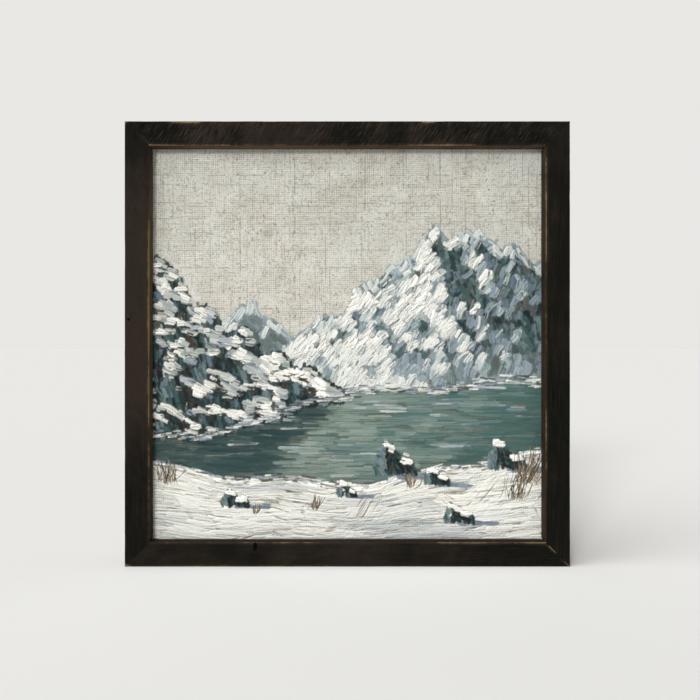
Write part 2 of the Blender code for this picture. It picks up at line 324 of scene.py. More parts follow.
def cliff_top(x):
    """Its skyline, which steps down from the left edge to its tip."""
    steps = ((0.085, 0.045), (0.170, 0.090), (0.255, 0.075), (0.345, 0.080), (0.425, 0.050), (0.470, 0.030))
    height = sum(fall * smooth(at + 0.035, at - 0.015, x / SPAN) for at, fall in steps)
    crest = 0.030 * (fbm(np.array(x / 11.0), np.array(0.5), 151, 3) - 0.5) + 0.03 * smooth(0.12, 0.03, x / SPAN)
    return cliff_foot(x) + SPAN * height * (1 + 0.35 * crest / 0.03 * 0.3) + SPAN * crest * smooth(0.0, 0.05, height)

def paint_all():
    p = Paint(11)
    rng = p.rng
    P = PALETTE
    pos = (np.arange(CELLS) + 0.5) * CELL
    lit, dist, steep, dirx, alt = view(VIEW_SIZE)
    land = dist > 0
    # tone: how light each spot is among all of the land's spots, from 0 to 1
    soft = box_blur(np.where(land, lit, 0), 1) / np.maximum(box_blur(land.astype(float), 1), 0.05)
    tone = np.interp(soft, np.quantile(soft[land], np.linspace(0, 1, 21)), np.linspace(0, 1, 21))
    gully = fbm(np.arange(VIEW_SIZE)[None, :] / 16.0 + dirx, alt * 9.0, 141, 3, ridged=True)
    bare = smooth(0.60, 0.80, gully) * smooth(0.10, 0.55, steep / np.quantile(steep[land], 0.85))
    X, Y = np.meshgrid(pos, pos)
    ground = fbm(X / 30, Y / 30, 91, 4)[..., None]
    p.colour = mix(srgb(188, 185, 173), srgb(172, 168, 156), ground)
    # sky
    for k in range(1900):
        x, y = rng.uniform(-5, SPAN + 5), rng.uniform(0.36 * SPAN, SPAN + 5)
        n = fbm(np.array(x / 70.0), np.array(y / 45.0), 95, 3)
        glow = np.exp(-(((x / SPAN - 0.28) / 0.42) ** 2 + ((y / SPAN - 0.58) / 0.22) ** 2))
        c = mix(mix(P["linen"], P["linen_dark"], np.clip(1.6 * n - 0.5, 0, 1) * 0.5), P["linen_light"], glow * 0.8 + 0.1)
        c = c * rng.normal(1, 0.02) * (1 + 0.012 * rng.normal(size=3))
        ang = rng.choice([0.1, 0.5, -0.4, 1.4]) + rng.normal(0, 0.25)
        p.stroke(x, y, ang + np.pi * rng.integers(2), rng.uniform(18, 42), rng.uniform(6, 11), c, 0.025, bend=rng.normal(0, 0.04), dry=rng.uniform(0.0, 0.3), blend=0.3, streak=0.05)
    for k in range(110):
        x = rng.uniform(0, SPAN); band = rng.choice([0.94, 0.87, 0.70], p=[0.4, 0.35, 0.25])
        y = SPAN * (band + 0.018 * np.sin(x / 30) + rng.normal(0, 0.010))
        if band == 0.70 and x > 0.36 * SPAN: continue
        if band == 0.87 and x < 0.55 * SPAN: continue
        if band == 0.94 and not 0.1 * SPAN < x < 0.62 * SPAN: continue
        p.stroke(x, y, 0.10 + rng.normal(0, 0.10), rng.uniform(14, 34), rng.uniform(2.0, 5.0), mix(P["snow"], P["cream"], rng.random()), 0.10, bend=rng.normal(0, .03), dry=rng.uniform(0.45, 0.8), blend=0.25)
    line = np.maximum(thread_lines(201, True), 0.9 * thread_lines(202, False))
    thin = smooth(0.20, 0.05, box_blur(p.height - p.cloth, 3))
    p.colour = mix(p.colour, mix(P["thread"], P["ochre"], 0.35) * 0.5, (line * thin * 0.8)[..., None])
    p.height -= 0.05 * line * thin
    fleck = (rng.random((CELLS, CELLS)) > 0.9988) * thin
    p.colour = mix(p.colour, P["umber"], (np.clip(box_blur(fleck, 1) * 4.0, 0, 1) * 0.8)[..., None])
    spot = (np.random.default_rng(207).random((CELLS, CELLS)) > 0.9999) * thin
    p.colour = mix(p.colour, P["umber"] * 0.6, (np.clip(box_blur(box_blur(spot, 1), 1) * 22.0, 0, 1) * 0.92)[..., None])

    def downhill(x, y):
        return np.arctan2(-1.0, sample(dirx, x, y) * 1.1)
    def mountain(count, size, chooser, thick, turn=0.22, **kw):
        pts = rng.uniform(0, SPAN, (count * 4, 2))
        d = np.array([sample(dist, x, y) for x, y in pts])
        pts, d = pts[d > 0][:count], d[d > 0][:count]
        for x, y in pts[np.argsort(-np.round(d * 4), kind="stable")]:
            if y < shore_line(x) - 2: continue
            t = sample(tone, x, y)
            t = t - 0.50 * sample(bare, x, y)
            if sample(dist, x, y + 3.0) == 0: t = max(t, 0.62)  # no dark fringe against the sky
            c = chooser(t)
            if c is None: continue
            dd = sample(dist, x, y)
            haze = 0.60 * smooth(3.3, 4.5, dd) + 0.25 * smooth(0.52, 0.41, y / SPAN)
            c = mix(c, P["mist"], haze) * rng.normal(1, 0.03)
            p.stroke(x, y, downhill(x, y) + rng.normal(0, turn), rng.uniform(*size[0]), rng.uniform(*size[1]), c, thick * rng.uniform(0.6, 1.3) * (1 - 0.5 * haze), bend=rng.normal(0, 0.07), blend=0.15, ragged=0.5, **kw)
    def pick(names, odds):
        return P[names[rng.choice(len(names), p=odds)]]
    def under(t):
        if t < 0.45: return mix(P["teal"], P["far_deep"], rng.random())
        if t < 0.72: return mix(P["blue"], P["far"], rng.random())
        return mix(P["mist"], P["snow_dim"], rng.random())
    def dark(t):
        if t > 0.42: return None
        return pick(["teal", "teal_deep", "teal_mid", "violet_deep", "ink", "rock"], [.27, .27, .16, .12, .10, .08])
    def middle(t):
        if not 0.34 < t < 0.76: return None
        return pick(["blue", "far", "violet", "mist", "far_deep", "violet_deep"], [.20, .18, .22, .16, .14, .10])
    def pale(t):
        if not 0.58 < t < 0.90: return None
        return mix(P["mist"], P["snow"], rng.random())
    def light(t):
        if t < 0.66: return None
        return mix(P["snow"], P["cream"], np.clip(rng.normal(0.4, 0.4), 0, 1.1))
    def crag(t):
        if t < 0.10 or rng.random() < 0.55: return None
        return pick(["teal_deep", "umber", "ink", "teal", "violet_deep"], [.34, .10, .12, .26, .18])
    def sparkle(t):
        if t < 0.84: return None
        return mix(P["cream"], P["white"], rng.random())
    mountain(2600, ((8, 18), (3, 5)), under, 0.10)
    mountain(3600, ((7, 16), (2.6, 5.2)), dark, 0.34, dry=0.10)
    mountain(3000, ((7, 15), (2.8, 5.6)), middle, 0.40, dry=0.15)
    mountain(2600, ((7, 15), (3.0, 6.0)), pale, 0.46, dry=0.15)
    mountain(3000, ((7, 15), (3.0, 6.5)), light, 0.60, dry=0.20)
    mountain(1500, ((3, 9), (0.9, 2.0)), crag, 0.22, dry=0.3)
    mountain(1500, ((5, 12), (1.8, 4.0)), sparkle, 0.75, dry=0.35)

    # water
    wet = smooth(-0.5, 1.0, shore_line(pos)[None, :] - Y)
    p.colour = mix(p.colour, mix(P["teal"], P["water"], 0.5), wet[..., None])
    for k in range(3300):
        x, y = rng.uniform(-4, SPAN + 4), rng.uniform(0.10 * SPAN, 0.405 * SPAN)
        if y > shore_line(x) - 1.0 or y < bank_line(x) - 5: continue
        below = shore_line(x) - y
        mirror_x, mirror_y = x + rng.normal(0, 2 + 0.03 * below), shore_line(x) + below * 1.2 + rng.normal(0, 1.5)
        foot = cliff_foot(mirror_x)
        if y < foot and 2 * foot - y < cliff_top(mirror_x):
            c = mix(P["teal_deep"], P["teal"], rng.uniform(0.0, 0.6))
        elif sample(dist, mirror_x, mirror_y) > 0:
            t = sample(tone, mirror_x, mirror_y)
            c = P["teal_deep"] if t < 0.20 else P["teal"] if t < 0.40 else P["far_deep"] if t < 0.6 else P["sage"] if t < 0.8 else P["sage_light"]
            c = mix(c, P["water"], 0.55)
        else:
            c = mix(P["sage_light"], P["water"], rng.uniform(0.35, 0.6))
        close = smooth(26, 3, y - bank_line(x))
        c = mix(c, P["teal"], 0.6 * close * rng.random()) * rng.normal(1, 0.035)
        if rng.random() < 0.03: c = mix(P["violet"], P["snow"], rng.random() * 0.8)
        p.stroke(x, y, rng.normal(0, 0.03), rng.uniform(12, 34), rng.uniform(1.2, 3.4), c, 0.20 * rng.uniform(0.6, 1.3), bend=rng.normal(0, 0.010), dry=rng.choice([0.1, 0.35]), blend=0.25, ragged=0.30)
    for k in range(560):
        x = rng.uniform(-4, SPAN + 4)
        y = shore_line(x) + rng.normal(0.5, 1.8)
        c = pick(["teal_deep", "umber", "teal", "snow", "cream", "violet"], [.20, .12, .20, .22, .14, .12])
        p.stroke(x, y, rng.normal(0, 0.10), rng.uniform(4, 14), rng.uniform(0.9, 2.3), c, 0.22, dry=0.2)

    def cliff(count, size, chooser, thick, **kw):
        """Strokes over the headland: chooser(ledge, lit, edge) gives a colour and whether it lies flat."""
        for k in range(count):
            x = rng.uniform(-3, 0.50 * SPAN)
            foot, top = cliff_foot(x), cliff_top(x)
            y = foot + (top - foot) * rng.random()
            if top - foot < 3: continue
            bend_of_rock = fbm(np.array(x / 30.0), np.array(y / 22.0), 161, 3)
            ledge = ((y + 0.30 * x) / 23.0 + 3.0 * bend_of_rock) % 1.0
            lit = 1 - ((x / 30.0 + 1.9 * bend_of_rock + 0.012 * y) % 1.0)
            lit -= 0.45 * smooth(4, 16, cliff_top(x - 7) - cliff_top(x + 7))
            ledge += 0.16 * ((y - foot) / (top - foot) - 0.45)
            found = chooser(ledge, lit, top - y)
            if found is None: continue
            c, flat = found
            angle = (-0.28 if flat else -1.35) + rng.normal(0, 0.22)
            p.stroke(x, y, angle, rng.uniform(*size[0]), rng.uniform(*size[1]), c * rng.normal(1, 0.05), thick * rng.uniform(0.6, 1.3), bend=rng.normal(0, 0.07), ragged=0.5, **kw)
    def rock_under(ledge, lit, edge):
        return pick(["teal_deep", "ink", "teal"], [.5, .25, .25]), False
    def rock_face(ledge, lit, edge):
        if ledge > 0.70: return None
        if lit > 0.62: return pick(["teal_mid", "far_deep", "violet_deep", "teal", "rock"], [.24, .26, .18, .20, .12]), False
        if lit > 0.35: return pick(["teal", "teal_deep", "violet_deep"], [.45, .35, .20]), False
        return pick(["teal_deep", "ink", "umber", "teal"], [.45, .33, .07, .15]), False
    def ledge_snow(ledge, lit, edge):
        if not (ledge > 0.66 or edge < 5 + 5 * lit): return None
        if lit < 0.30: return mix(pick(["violet", "linen_dark", "sage"], [.3, .45, .25]), P["snow_dim"], 0.7 * rng.random()), True
        return mix(P["snow"], P["cream"], rng.random()), True
    def snow_light(ledge, lit, edge):
        if not (0.76 < ledge < 0.97 or edge < 4) or lit < 0.35: return None
        return mix(P["cream"], P["white"], rng.random()), True
    def rock_light(ledge, lit, edge):
        if ledge > 0.62 or lit < 0.72: return None
        return pick(["mist", "far", "blue", "thread"], [.3, .3, .25, .15]), False
    def rock_crack(ledge, lit, edge):
        if not 0.50 < ledge < 0.72: return None
        return pick(["ink", "teal_deep", "umber"], [.5, .35, .15]), True
    cliff(1500, ((8, 16), (3, 5)), rock_under, 0.15)
    cliff(2000, ((6, 14), (2.2, 4.6)), rock_face, 0.36, blend=0.06, dry=0.1)
    cliff(500, ((3, 8), (1.0, 2.0)), rock_light, 0.30, dry=0.35)
    cliff(1500, ((6, 14), (2.8, 5.4)), ledge_snow, 0.62, blend=0.08, dry=0.12)
    cliff(700, ((3, 10), (0.9, 1.8)), rock_crack, 0.20)
    cliff(1000, ((5, 11), (2.0, 4.2)), snow_light, 0.80, dry=0.3)
    for k in range(330):
        x = rng.uniform(-4, 0.50 * SPAN)
        c = pick(["teal_deep", "ink", "snow", "cream", "violet", "far_deep"], [.24, .18, .18, .14, .14, .12])
        p.stroke(x, cliff_foot(x) + rng.normal(0.3, 1.4), 0.10 + rng.normal(0, 0.10), rng.uniform(4, 13), rng.uniform(0.9, 2.2), c, 0.26, dry=0.2)

    def slope(x):
        return np.arctan((bank_line(x + 2) - bank_line(x - 2)) / 4)
    def bank(count, size, thick, dry, base):
        pts = np.column_stack([rng.uniform(-5, SPAN + 5, count), rng.uniform(-4, 0.34 * SPAN, count)])
        for x, y in pts[np.argsort(-pts[:, 1] // 9, kind="stable")]:
            edge = bank_line(x)
            if y > edge - 1: continue
            depth = (edge - y) / edge
            hollow = fbm(np.array(x / 52.0 + y / 90), np.array(y / 17.0 - x / 160), 137, 3)
            shade = smooth(0.50, 0.64, hollow)
            c = mix(P["snow"], P["cream"], np.clip(rng.normal(0.6, 0.4), 0, 1.2))
            if base: c = mix(c, P["snow_dim"], 0.5)
            c = mix(c, mix(P["violet"], P["snow_dim"], rng.uniform(0.3, 1)), shade * rng.uniform(0.45, 0.8))
            if not base and rng.random() < 0.02: c = mix(P["ochre"], P["snow"], rng.uniform(0.5, 0.8))
            ang = slope(x) * (1 - 0.75 * depth) + rng.normal(0, 0.05)
            p.stroke(x, y, ang, rng.uniform(*size[0]), rng.uniform(*size[1]), c, rng.uniform(*thick), bend=rng.normal(0, 0.02), dry=rng.choice(dry), blend=0.30, ragged=0.40, streak=0.05)
    bank(1500, ((14, 30), (3, 6)), (0.06, 0.14), [0.0, 0.2], True)
    bank(2400, ((18, 46), (1.8, 5.0)), (0.30, 0.62), [0.1, 0.3, 0.5], False)
    lie = np.arctan2(np.gradient(bank_line(pos), CELL), 1.0)[None, :] * 0.6
    level = Y - lie * X
    wander = 5.0 * (fbm(X / 34, Y / 26, 171, 3) - 0.5)
    furrow = fbm(X / 17, (level + wander) / 1.9, 175, 3, ridged=True)
    on_bank = smooth(0.0, 6.0, bank_line(pos)[None, :] - Y)
    p.height += 0.42 * on_bank * (furrow - 0.62)
    deep = smooth(0.40, 0.22, fbm(X / 13, (level + wander) / 2.3, 185, 3)) * on_bank * smooth(0.45, 0.70, fbm(X / 24, Y / 12, 189, 3))
    p.height -= 0.45 * deep
    p.colour = mix(p.colour, P["ochre"] * 0.9, (0.75 * deep)[..., None])
    for k in range(420):
        x = rng.uniform(-4, SPAN + 4); y = bank_line(x) + rng.normal(-0.5, 1.3)
        c = pick(["umber", "violet_deep", "cream", "white", "teal_deep"], [.14, .20, .34, .20, .12])
        p.stroke(x, y, slope(x) + rng.normal(0, 0.1), rng.uniform(5, 15), rng.uniform(1.0, 2.4), c, 0.35, dry=0.2)

    def boulder(cx, cy, wide, high):
        """A rock with a broken outline: planes that face left are lighter, and snow lies on its top."""
        cx, cy = cx * SPAN, cy * SPAN
        corners = np.array([-0.44, -0.27, -0.05, 0.16, 0.40]) + rng.uniform(-0.04, 0.04, 5)
        tops = high * np.array([0.42, 1.00, 0.88, 0.52, 0.40]) * rng.uniform(0.90, 1.10, 5)
        def rise(x):
            return np.interp((x - cx) / wide, [-0.5, *corners, 0.5], [0, *tops, 0])
        for k in range(int(wide * 1.6)):
            x, y = cx + wide * rng.uniform(0.1, 1.15), cy - 0.08 * high + rng.normal(0, 0.05) * high
            p.stroke(x, y, rng.normal(-0.04, 0.06), rng.uniform(6, 14), rng.uniform(1.2, 2.4), mix(P["violet"], P["violet_deep"], rng.random()), 0.25)
        for k in range(int(wide * high * 0.55)):
            x = cx + wide * rng.uniform(-0.48, 0.48)
            y = cy + rise(x) * rng.random()
            plane = int(np.searchsorted(corners, (x - cx) / wide))
            shade = (rise(x + 1) - rise(x - 1)) / 2
            c = pick(["far_deep", "teal_mid", "violet_deep", "teal"], [.3, .3, .2, .2]) if shade > 0.1 else pick(["teal_deep", "ink", "teal", "umber"], [.4, .28, .24, .08])
            p.stroke(x, y, (-1.25, -0.9, -1.5, -0.6, -1.1, -1.35)[plane] + rng.normal(0, 0.15), rng.uniform(3, 7), rng.uniform(1.3, 2.6), c, 0.28, blend=0.1)
        for k in range(int(wide * 2.6)):
            x = cx + wide * rng.uniform(-0.46, 0.44)
            tilt = 0.7 * np.arctan((rise(x + 2) - rise(x - 2)) / 4)
            if rise(x) < 0.35 * high or abs(tilt) > 0.42: continue
            p.stroke(x, cy + rise(x) + rng.normal(-0.02, 0.07) * high, tilt + rng.normal(0, 0.15), rng.uniform(3, 8), rng.uniform(1.3, 2.6), mix(P["cream"], P["white"], rng.random()), 0.65, dry=0.1)
    for spec in ((0.62, 0.175, 34, 22), (0.725, 0.150, 20, 12), (0.90, 0.190, 30, 20), (0.50, 0.120, 15, 9), (0.22, 0.095, 22, 12), (0.78, 0.055, 24, 13)):
        boulder(*spec)

    def tuft(cx, cy, count, tall, lean):
        for k in range(count):
            a = 1.45 + lean + rng.normal(0, 0.30)
            L = tall * rng.uniform(0.4, 1.0)
            x0, y0 = cx * SPAN + rng.normal(0, tall * 0.16), cy * SPAN + rng.normal(0, 0.8)
            c = pick(["umber", "ochre", "rock", "thread"], [.45, .2, .2, .15])
            p.stroke(x0 + np.cos(a) * L / 2, y0 + np.sin(a) * L / 2, a, L, rng.uniform(0.5, 0.95), c, 0.12, bend=rng.normal(0.03, 0.08), blend=0.05, ragged=0.15)
    for spec in ((0.955, 0.150, 46, 36, -0.10), (0.925, 0.110, 30, 26, 0.0), (0.66, 0.140, 20, 15, 0.1), (0.055, 0.150, 34, 24, 0.12), (0.42, 0.085, 20, 14, -0.1), (0.27, 0.075, 14, 10, 0.1)):
        tuft(*spec)
    return p


# ------------------------------------------------------------ meshes


def grid_faces(rows, columns, wrap_rows=False, wrap_columns=False):
    """Quads over a rows x columns grid of points, as an array of four indices each."""
    r = np.arange(rows if wrap_rows else rows - 1)
    c = np.arange(columns if wrap_columns else columns - 1)
    r, c = (v.ravel() for v in np.meshgrid(r, c, indexing="ij"))
    r1, c1 = (r + 1) % rows, (c + 1) % columns
    return np.column_stack([r * columns + c, r * columns + c1, r1 * columns + c1, r1 * columns + c])


def add_mesh(name, points, faces, smooth_faces=True):
    """An object from points in mm and lists of corner indices."""
    mesh = bpy.data.meshes.new(name)
    mesh.from_pydata((np.asarray(points) * MM).tolist(), [], [list(f) for f in faces])
    mesh.validate()
    mesh.polygons.foreach_set("use_smooth", [smooth_faces] * len(mesh.polygons))
    mesh.update()
    obj = bpy.data.objects.new(name, mesh)
    bpy.context.scene.collection.objects.link(obj)
    return obj


def add_values(obj, name, values):
    """A float, vector or colour attribute on the points."""
    values = np.asarray(values, np.float32)
    kind = {1: "FLOAT", 3: "FLOAT_VECTOR", 4: "FLOAT_COLOR"}[1 if values.ndim == 1 else values.shape[1]]
    field = {"FLOAT": "value", "FLOAT_VECTOR": "vector", "FLOAT_COLOR": "color"}[kind]
    layer = obj.data.attributes.new(name, kind, "POINT")
    layer.data.foreach_set(field, values.ravel())


def finish_piece(obj, material, replaces=()):
    obj.data.materials.clear()
    obj.data.materials.append(material)
    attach(obj, "root")
    if replaces:
        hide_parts(*replaces)
    return obj


def to_world(side, along, inward, depth):
    """A place on one side of the frame, in mm, as world X, Y, Z in mm."""
    out = HALF - inward
    x, z = {"top": (along, out), "right": (out, -along), "bottom": (-along, -out), "left": (-out, along)}[side]
    return np.stack(np.broadcast_arrays(x, FRONT + depth, z + HALF), axis=-1)


# ------------------------------------------------------------ materials


class Nodes:
    """Short ways to wire one material's nodes."""

    def __init__(self, name, roughness=0.6, metallic=0.0, specular=0.5):
        self.material = bpy.data.materials.new(name)
        self.material.use_nodes = True
        self.tree = self.material.node_tree
        self.shader = self.tree.nodes["Principled BSDF"]
        self.shader.inputs["Roughness"].default_value = roughness
        self.shader.inputs["Metallic"].default_value = metallic
        self.shader.inputs["Specular IOR Level"].default_value = specular

    def add(self, kind, inputs=None, **settings):
        node = self.tree.nodes.new(kind)
        for key, value in settings.items():
            setattr(node, key, value)
        for key, value in (inputs or {}).items():
            self.set(node.inputs[key], value)
        return node

    def set(self, socket, value):
        if isinstance(value, bpy.types.NodeSocket):
            self.tree.links.new(value, socket)
        elif isinstance(value, np.ndarray) or isinstance(value, tuple) and len(value) == 3:
            spread = list(value) + [1.0] if socket.type == "RGBA" else list(value)
            socket.default_value = spread
        else:
            socket.default_value = value

    def attribute(self, name, output="Fac"):
        return self.add("ShaderNodeAttribute", attribute_name=name).outputs[output]

    def scaled(self, vector, scale):
        return self.add("ShaderNodeMapping", {"Vector": vector, "Scale": scale}).outputs["Vector"]

    def noise(self, vector, scale=1.0, detail=3.0, roughness=0.55, distortion=0.0):
        inputs = {"Vector": vector, "Scale": scale, "Detail": detail, "Roughness": roughness}
        inputs["Distortion"] = distortion
        return self.add("ShaderNodeTexNoise", inputs).outputs["Fac"]

    def math(self, operation, a, b=0.0, c=0.0):
        return self.add("ShaderNodeMath", {0: a, 1: b, 2: c}, operation=operation).outputs[0]

    def ramp(self, value, low, high, to_low=0.0, to_high=1.0):
        inputs = {"Value": value, "From Min": low, "From Max": high, "To Min": to_low, "To Max": to_high}
        return self.add("ShaderNodeMapRange", inputs, interpolation_type="SMOOTHSTEP").outputs["Result"]

    def blend(self, amount, a, b, how="MIX"):
        node = self.add("ShaderNodeMix", data_type="RGBA", blend_type=how)
        self.set(node.inputs[0], amount)
        self.set(node.inputs[6], a)
        self.set(node.inputs[7], b)
        return node.outputs[2]

    def bump(self, height, distance, strength=1.0, normal=None):
        inputs = {"Height": height, "Distance": distance, "Strength": strength}
        if normal:
            inputs["Normal"] = normal
        return self.add("ShaderNodeBump", inputs).outputs["Normal"]

    def finish(self, colour=None, roughness=None, normal=None):
        for socket, value in (("Base Color", colour), ("Roughness", roughness), ("Normal", normal)):
            if value is not None:
                self.set(self.shader.inputs[socket], value)
        return self.material


def paint_material():
    """Paint: its colour comes from the strokes, and where it is thin the cloth's weave shows."""
    n = Nodes("oil_paint", specular=0.10)
    colour = n.attribute("paint", "Color")
    thin = n.attribute("thin")
    place = n.add("ShaderNodeTexCoord").outputs["Object"]
    warp = n.add("ShaderNodeTexWave", {"Vector": place, "Scale": 217.0, "Distortion": 5.0, "Detail": 3.0, "Detail Scale": 0.35}, bands_direction="X")
    weft = n.add("ShaderNodeTexWave", {"Vector": place, "Scale": 203.0, "Distortion": 5.0, "Detail": 3.0, "Detail Scale": 0.35}, bands_direction="Z")
    weave = n.math("MULTIPLY", warp.outputs["Fac"], weft.outputs["Fac"])
    dashes = n.math("MINIMUM", n.noise(n.scaled(place, (420.0, 420.0, 1250.0)), 1.0, 1.0), n.noise(n.scaled(place, (1350.0, 420.0, 420.0)), 1.0, 1.0))
    grit = n.noise(place, 2600.0, 2.0)
    worn = n.ramp(n.noise(place, 55.0, 3.0), 0.35, 0.65, 0.04, 0.36)
    # painted shade: where the paint is thin, the hollows of the weave are darkened toward the thread colour, more in
    # some patches (worn) than in others
    dark = n.math("MULTIPLY", n.ramp(weave, 0.35, 0.0), n.math("MULTIPLY", thin, worn))
    colour = n.blend(dark, colour, PALETTE["thread"] * 0.8)
    pits = n.math("MULTIPLY", n.ramp(dashes, 0.41, 0.29), n.math("MULTIPLY", thin, 0.52))
    colour = n.blend(pits, colour, PALETTE["glaze_and_hollow_shade"])
    colour = n.blend(0.30, colour, n.blend(grit, (0.32, 0.32, 0.32), (0.68, 0.68, 0.68)), "OVERLAY")
    relief = n.math("ADD", n.math("MULTIPLY", weave, n.math("MULTIPLY", thin, 0.6)), n.math("MULTIPLY", grit, 0.25))
    relief = n.math("ADD", relief, n.math("MULTIPLY", dashes, n.math("MULTIPLY", thin, 2.2)))
    rough = n.ramp(thin, 0.0, 1.0, 0.52, 0.78)
    return n.finish(colour, rough, n.bump(relief, 0.00012, 0.8))


def wood_coordinates(n, scale):
    return n.scaled(n.attribute("grain", "Vector"), scale)


def stained_wood_material():
    """Near-black stain, brown where it is worn, with saw lines, and rubbed through to the wood at the arrises. The
    inner walls are painted lighter and warmer: painted light thrown back from the canvas.
    """
    n = Nodes("stained_wood", specular=0.02)
    tone, rub, saw, hole = (n.attribute(name) for name in ("tone", "rub", "saw", "hole"))
    streak = n.noise(wood_coordinates(n, (0.035, 1.6, 1.6)), 1.0, 5.0, 0.62, 0.25)
    fine = n.noise(wood_coordinates(n, (0.16, 7.0, 7.0)), 1.0, 3.0, 0.6)
    slant = n.add("ShaderNodeMapping", {"Vector": n.attribute("grain", "Vector"), "Rotation": (0.0, 0.0, SAW_TURN)})
    slant = slant.outputs["Vector"]
    lines = n.noise(n.scaled(slant, (1.35, 0.085, 0.085)), 1.0, 4.0, 0.65, 0.25)
    patch = n.noise(n.scaled(slant, (0.06, 0.025, 0.03)), 1.0, 3.0, 0.6)
    stain_and_wall_light = n.math("ADD", tone, n.math("MULTIPLY", n.math("SUBTRACT", patch, 0.5), n.ramp(saw, 0.0, 1.0, 0.7, 2.4)))
    base = n.blend(n.ramp(stain_and_wall_light, 0.0, 1.0), srgb(13, 14, 11), srgb(43, 36, 31))
    base = n.blend(n.math("MULTIPLY", n.ramp(streak, 0.45, 0.75), 0.35), base, srgb(52, 46, 38))
    base = n.blend(n.math("MULTIPLY", n.ramp(fine, 0.58, 0.38), 0.45), base, srgb(7, 7, 6))
    base = n.blend(n.math("MULTIPLY", saw, n.ramp(lines, 0.52, 0.36)), base, srgb(8, 8, 7))
    base = n.blend(n.math("MULTIPLY", n.math("MULTIPLY", saw, 0.8), n.ramp(lines, 0.50, 0.74)), base, srgb(62, 54, 45))
    # painted light: tone above 1, given only to the inner walls, turns the stain toward a lighter warm brown
    base = n.blend(n.ramp(stain_and_wall_light, 1.0, 2.0), base, srgb(88, 74, 61))
    bare = n.blend(n.ramp(streak, 0.35, 0.68), srgb(78, 64, 45), srgb(128, 109, 79))
    torn = n.math("ADD", rub, n.math("MULTIPLY", n.math("SUBTRACT", fine, 0.5), 1.6))
    torn = n.math("ADD", torn, n.math("MULTIPLY", n.math("MULTIPLY", n.math("SUBTRACT", lines, 0.5), saw), 4.0))
    halo = n.math("MULTIPLY", n.ramp(rub, -2.2, 0.2), 0.45)
    base = n.blend(halo, base, srgb(58, 47, 36))
    colour = n.blend(n.math("MULTIPLY", n.ramp(torn, -0.15, 0.45), 0.92), base, bare)
    colour = n.blend(hole, colour, srgb(5, 5, 4))
    relief = n.math("ADD", n.math("MULTIPLY", streak, 0.6), n.math("MULTIPLY", fine, 0.4))
    relief = n.math("ADD", relief, n.math("MULTIPLY", n.math("MULTIPLY", lines, saw), 2.0))
    rough = n.ramp(fine, 0.3, 0.7, 0.55, 0.75)
    return n.finish(colour, rough, n.bump(relief, 0.00022, 0.75))


def pine_material():
    """Planed pine: soft uneven year lines, a few darker streaks and fine pores along the grain."""
    n = Nodes("raw_pine", specular=0.3)
    bowed = n.noise(wood_coordinates(n, (0.004, 0.02, 0.02)), 1.0, 2.0)
    year = n.noise(wood_coordinates(n, (0.0035, 0.30, 0.30)), 1.0, 2.0, 0.45, 0.6)
    rings = n.add("ShaderNodeTexWave", {"Vector": wood_coordinates(n, (0.004, 0.10, 0.10)), "Scale": 1.0, "Distortion": 9.0,
                                        "Detail": 3.0, "Detail Scale": 0.35, "Detail Roughness": 0.45}, bands_direction="Y")
    fine = n.noise(wood_coordinates(n, (0.12, 5.0, 5.0)), 1.0, 3.0)
    colour = n.blend(n.ramp(bowed, 0.35, 0.7), srgb(219, 190, 148), srgb(203, 170, 124))
    colour = n.blend(n.math("MULTIPLY", n.ramp(rings.outputs["Fac"], 0.55, 0.98), 0.5), colour, srgb(178, 136, 88))
    colour = n.blend(n.math("MULTIPLY", n.ramp(year, 0.56, 0.72), 0.5), colour, srgb(172, 128, 82))
    colour = n.blend(n.math("MULTIPLY", n.ramp(fine, 0.6, 0.35), 0.22), colour, srgb(150, 112, 72))
    return n.finish(colour, n.ramp(fine, 0.3, 0.7, 0.55, 0.75), n.bump(fine, 0.0002, 0.6))


def cloth_material():
    """Unpainted cotton canvas, seen on the back and the wrapped edges."""
    n = Nodes("raw_canvas", specular=0.15)
    place = n.add("ShaderNodeTexCoord").outputs["Object"]
    warp = n.add("ShaderNodeTexWave", {"Vector": place, "Scale": 217.0, "Distortion": 5.0, "Detail": 3.0, "Detail Scale": 0.35}, bands_direction="X")
    weft = n.add("ShaderNodeTexWave", {"Vector": place, "Scale": 203.0, "Distortion": 5.0, "Detail": 3.0, "Detail Scale": 0.35}, bands_direction="Z")
    weave = n.math("MULTIPLY", warp.outputs["Fac"], weft.outputs["Fac"])
    slub = n.noise(n.scaled(place, (1.0, 1.0, 0.06)), 900.0, 2.0)
    slub2 = n.noise(n.scaled(place, (0.06, 1.0, 1.0)), 900.0, 2.0)
    blotch = n.noise(place, 24.0, 3.0)
    # painted shade: the cloth is darker in the hollows of the weave and lighter on the crowns of the threads
    colour = n.blend(n.ramp(weave, 0.0, 0.6), srgb(176, 162, 134), srgb(214, 204, 180))
    colour = n.blend(n.math("MULTIPLY", n.ramp(n.math("MAXIMUM", slub, slub2), 0.62, 0.78), 0.5), colour, srgb(150, 132, 102))
    colour = n.blend(n.math("MULTIPLY", n.ramp(blotch, 0.45, 0.75), 0.25), colour, srgb(188, 176, 150))
    return n.finish(colour, 0.9, n.bump(weave, 0.0002, 0.9))


def metal_material(name, light, dark, roughness):
    """Plated sheet metal with fine scratches and a few dull spots."""
    n = Nodes(name, metallic=1.0)
    place = n.add("ShaderNodeTexCoord").outputs["Object"]
    scratch = n.noise(n.scaled(place, (1.0, 1.0, 0.04)), 2500.0, 3.0)
    bloom = n.noise(place, 160.0, 4.0)
    spot = n.noise(place, 900.0, 2.0)
    colour = n.blend(n.math("MULTIPLY", n.ramp(bloom, 0.35, 0.75), 0.5), light, dark)
    colour = n.blend(n.math("MULTIPLY", n.ramp(spot, 0.68, 0.80), 0.6), colour, dark * 0.5)
    rough = n.ramp(scratch, 0.3, 0.7, roughness - 0.06, roughness + 0.12)
    return n.finish(colour, rough, n.bump(scratch, 0.00003, 0.5))


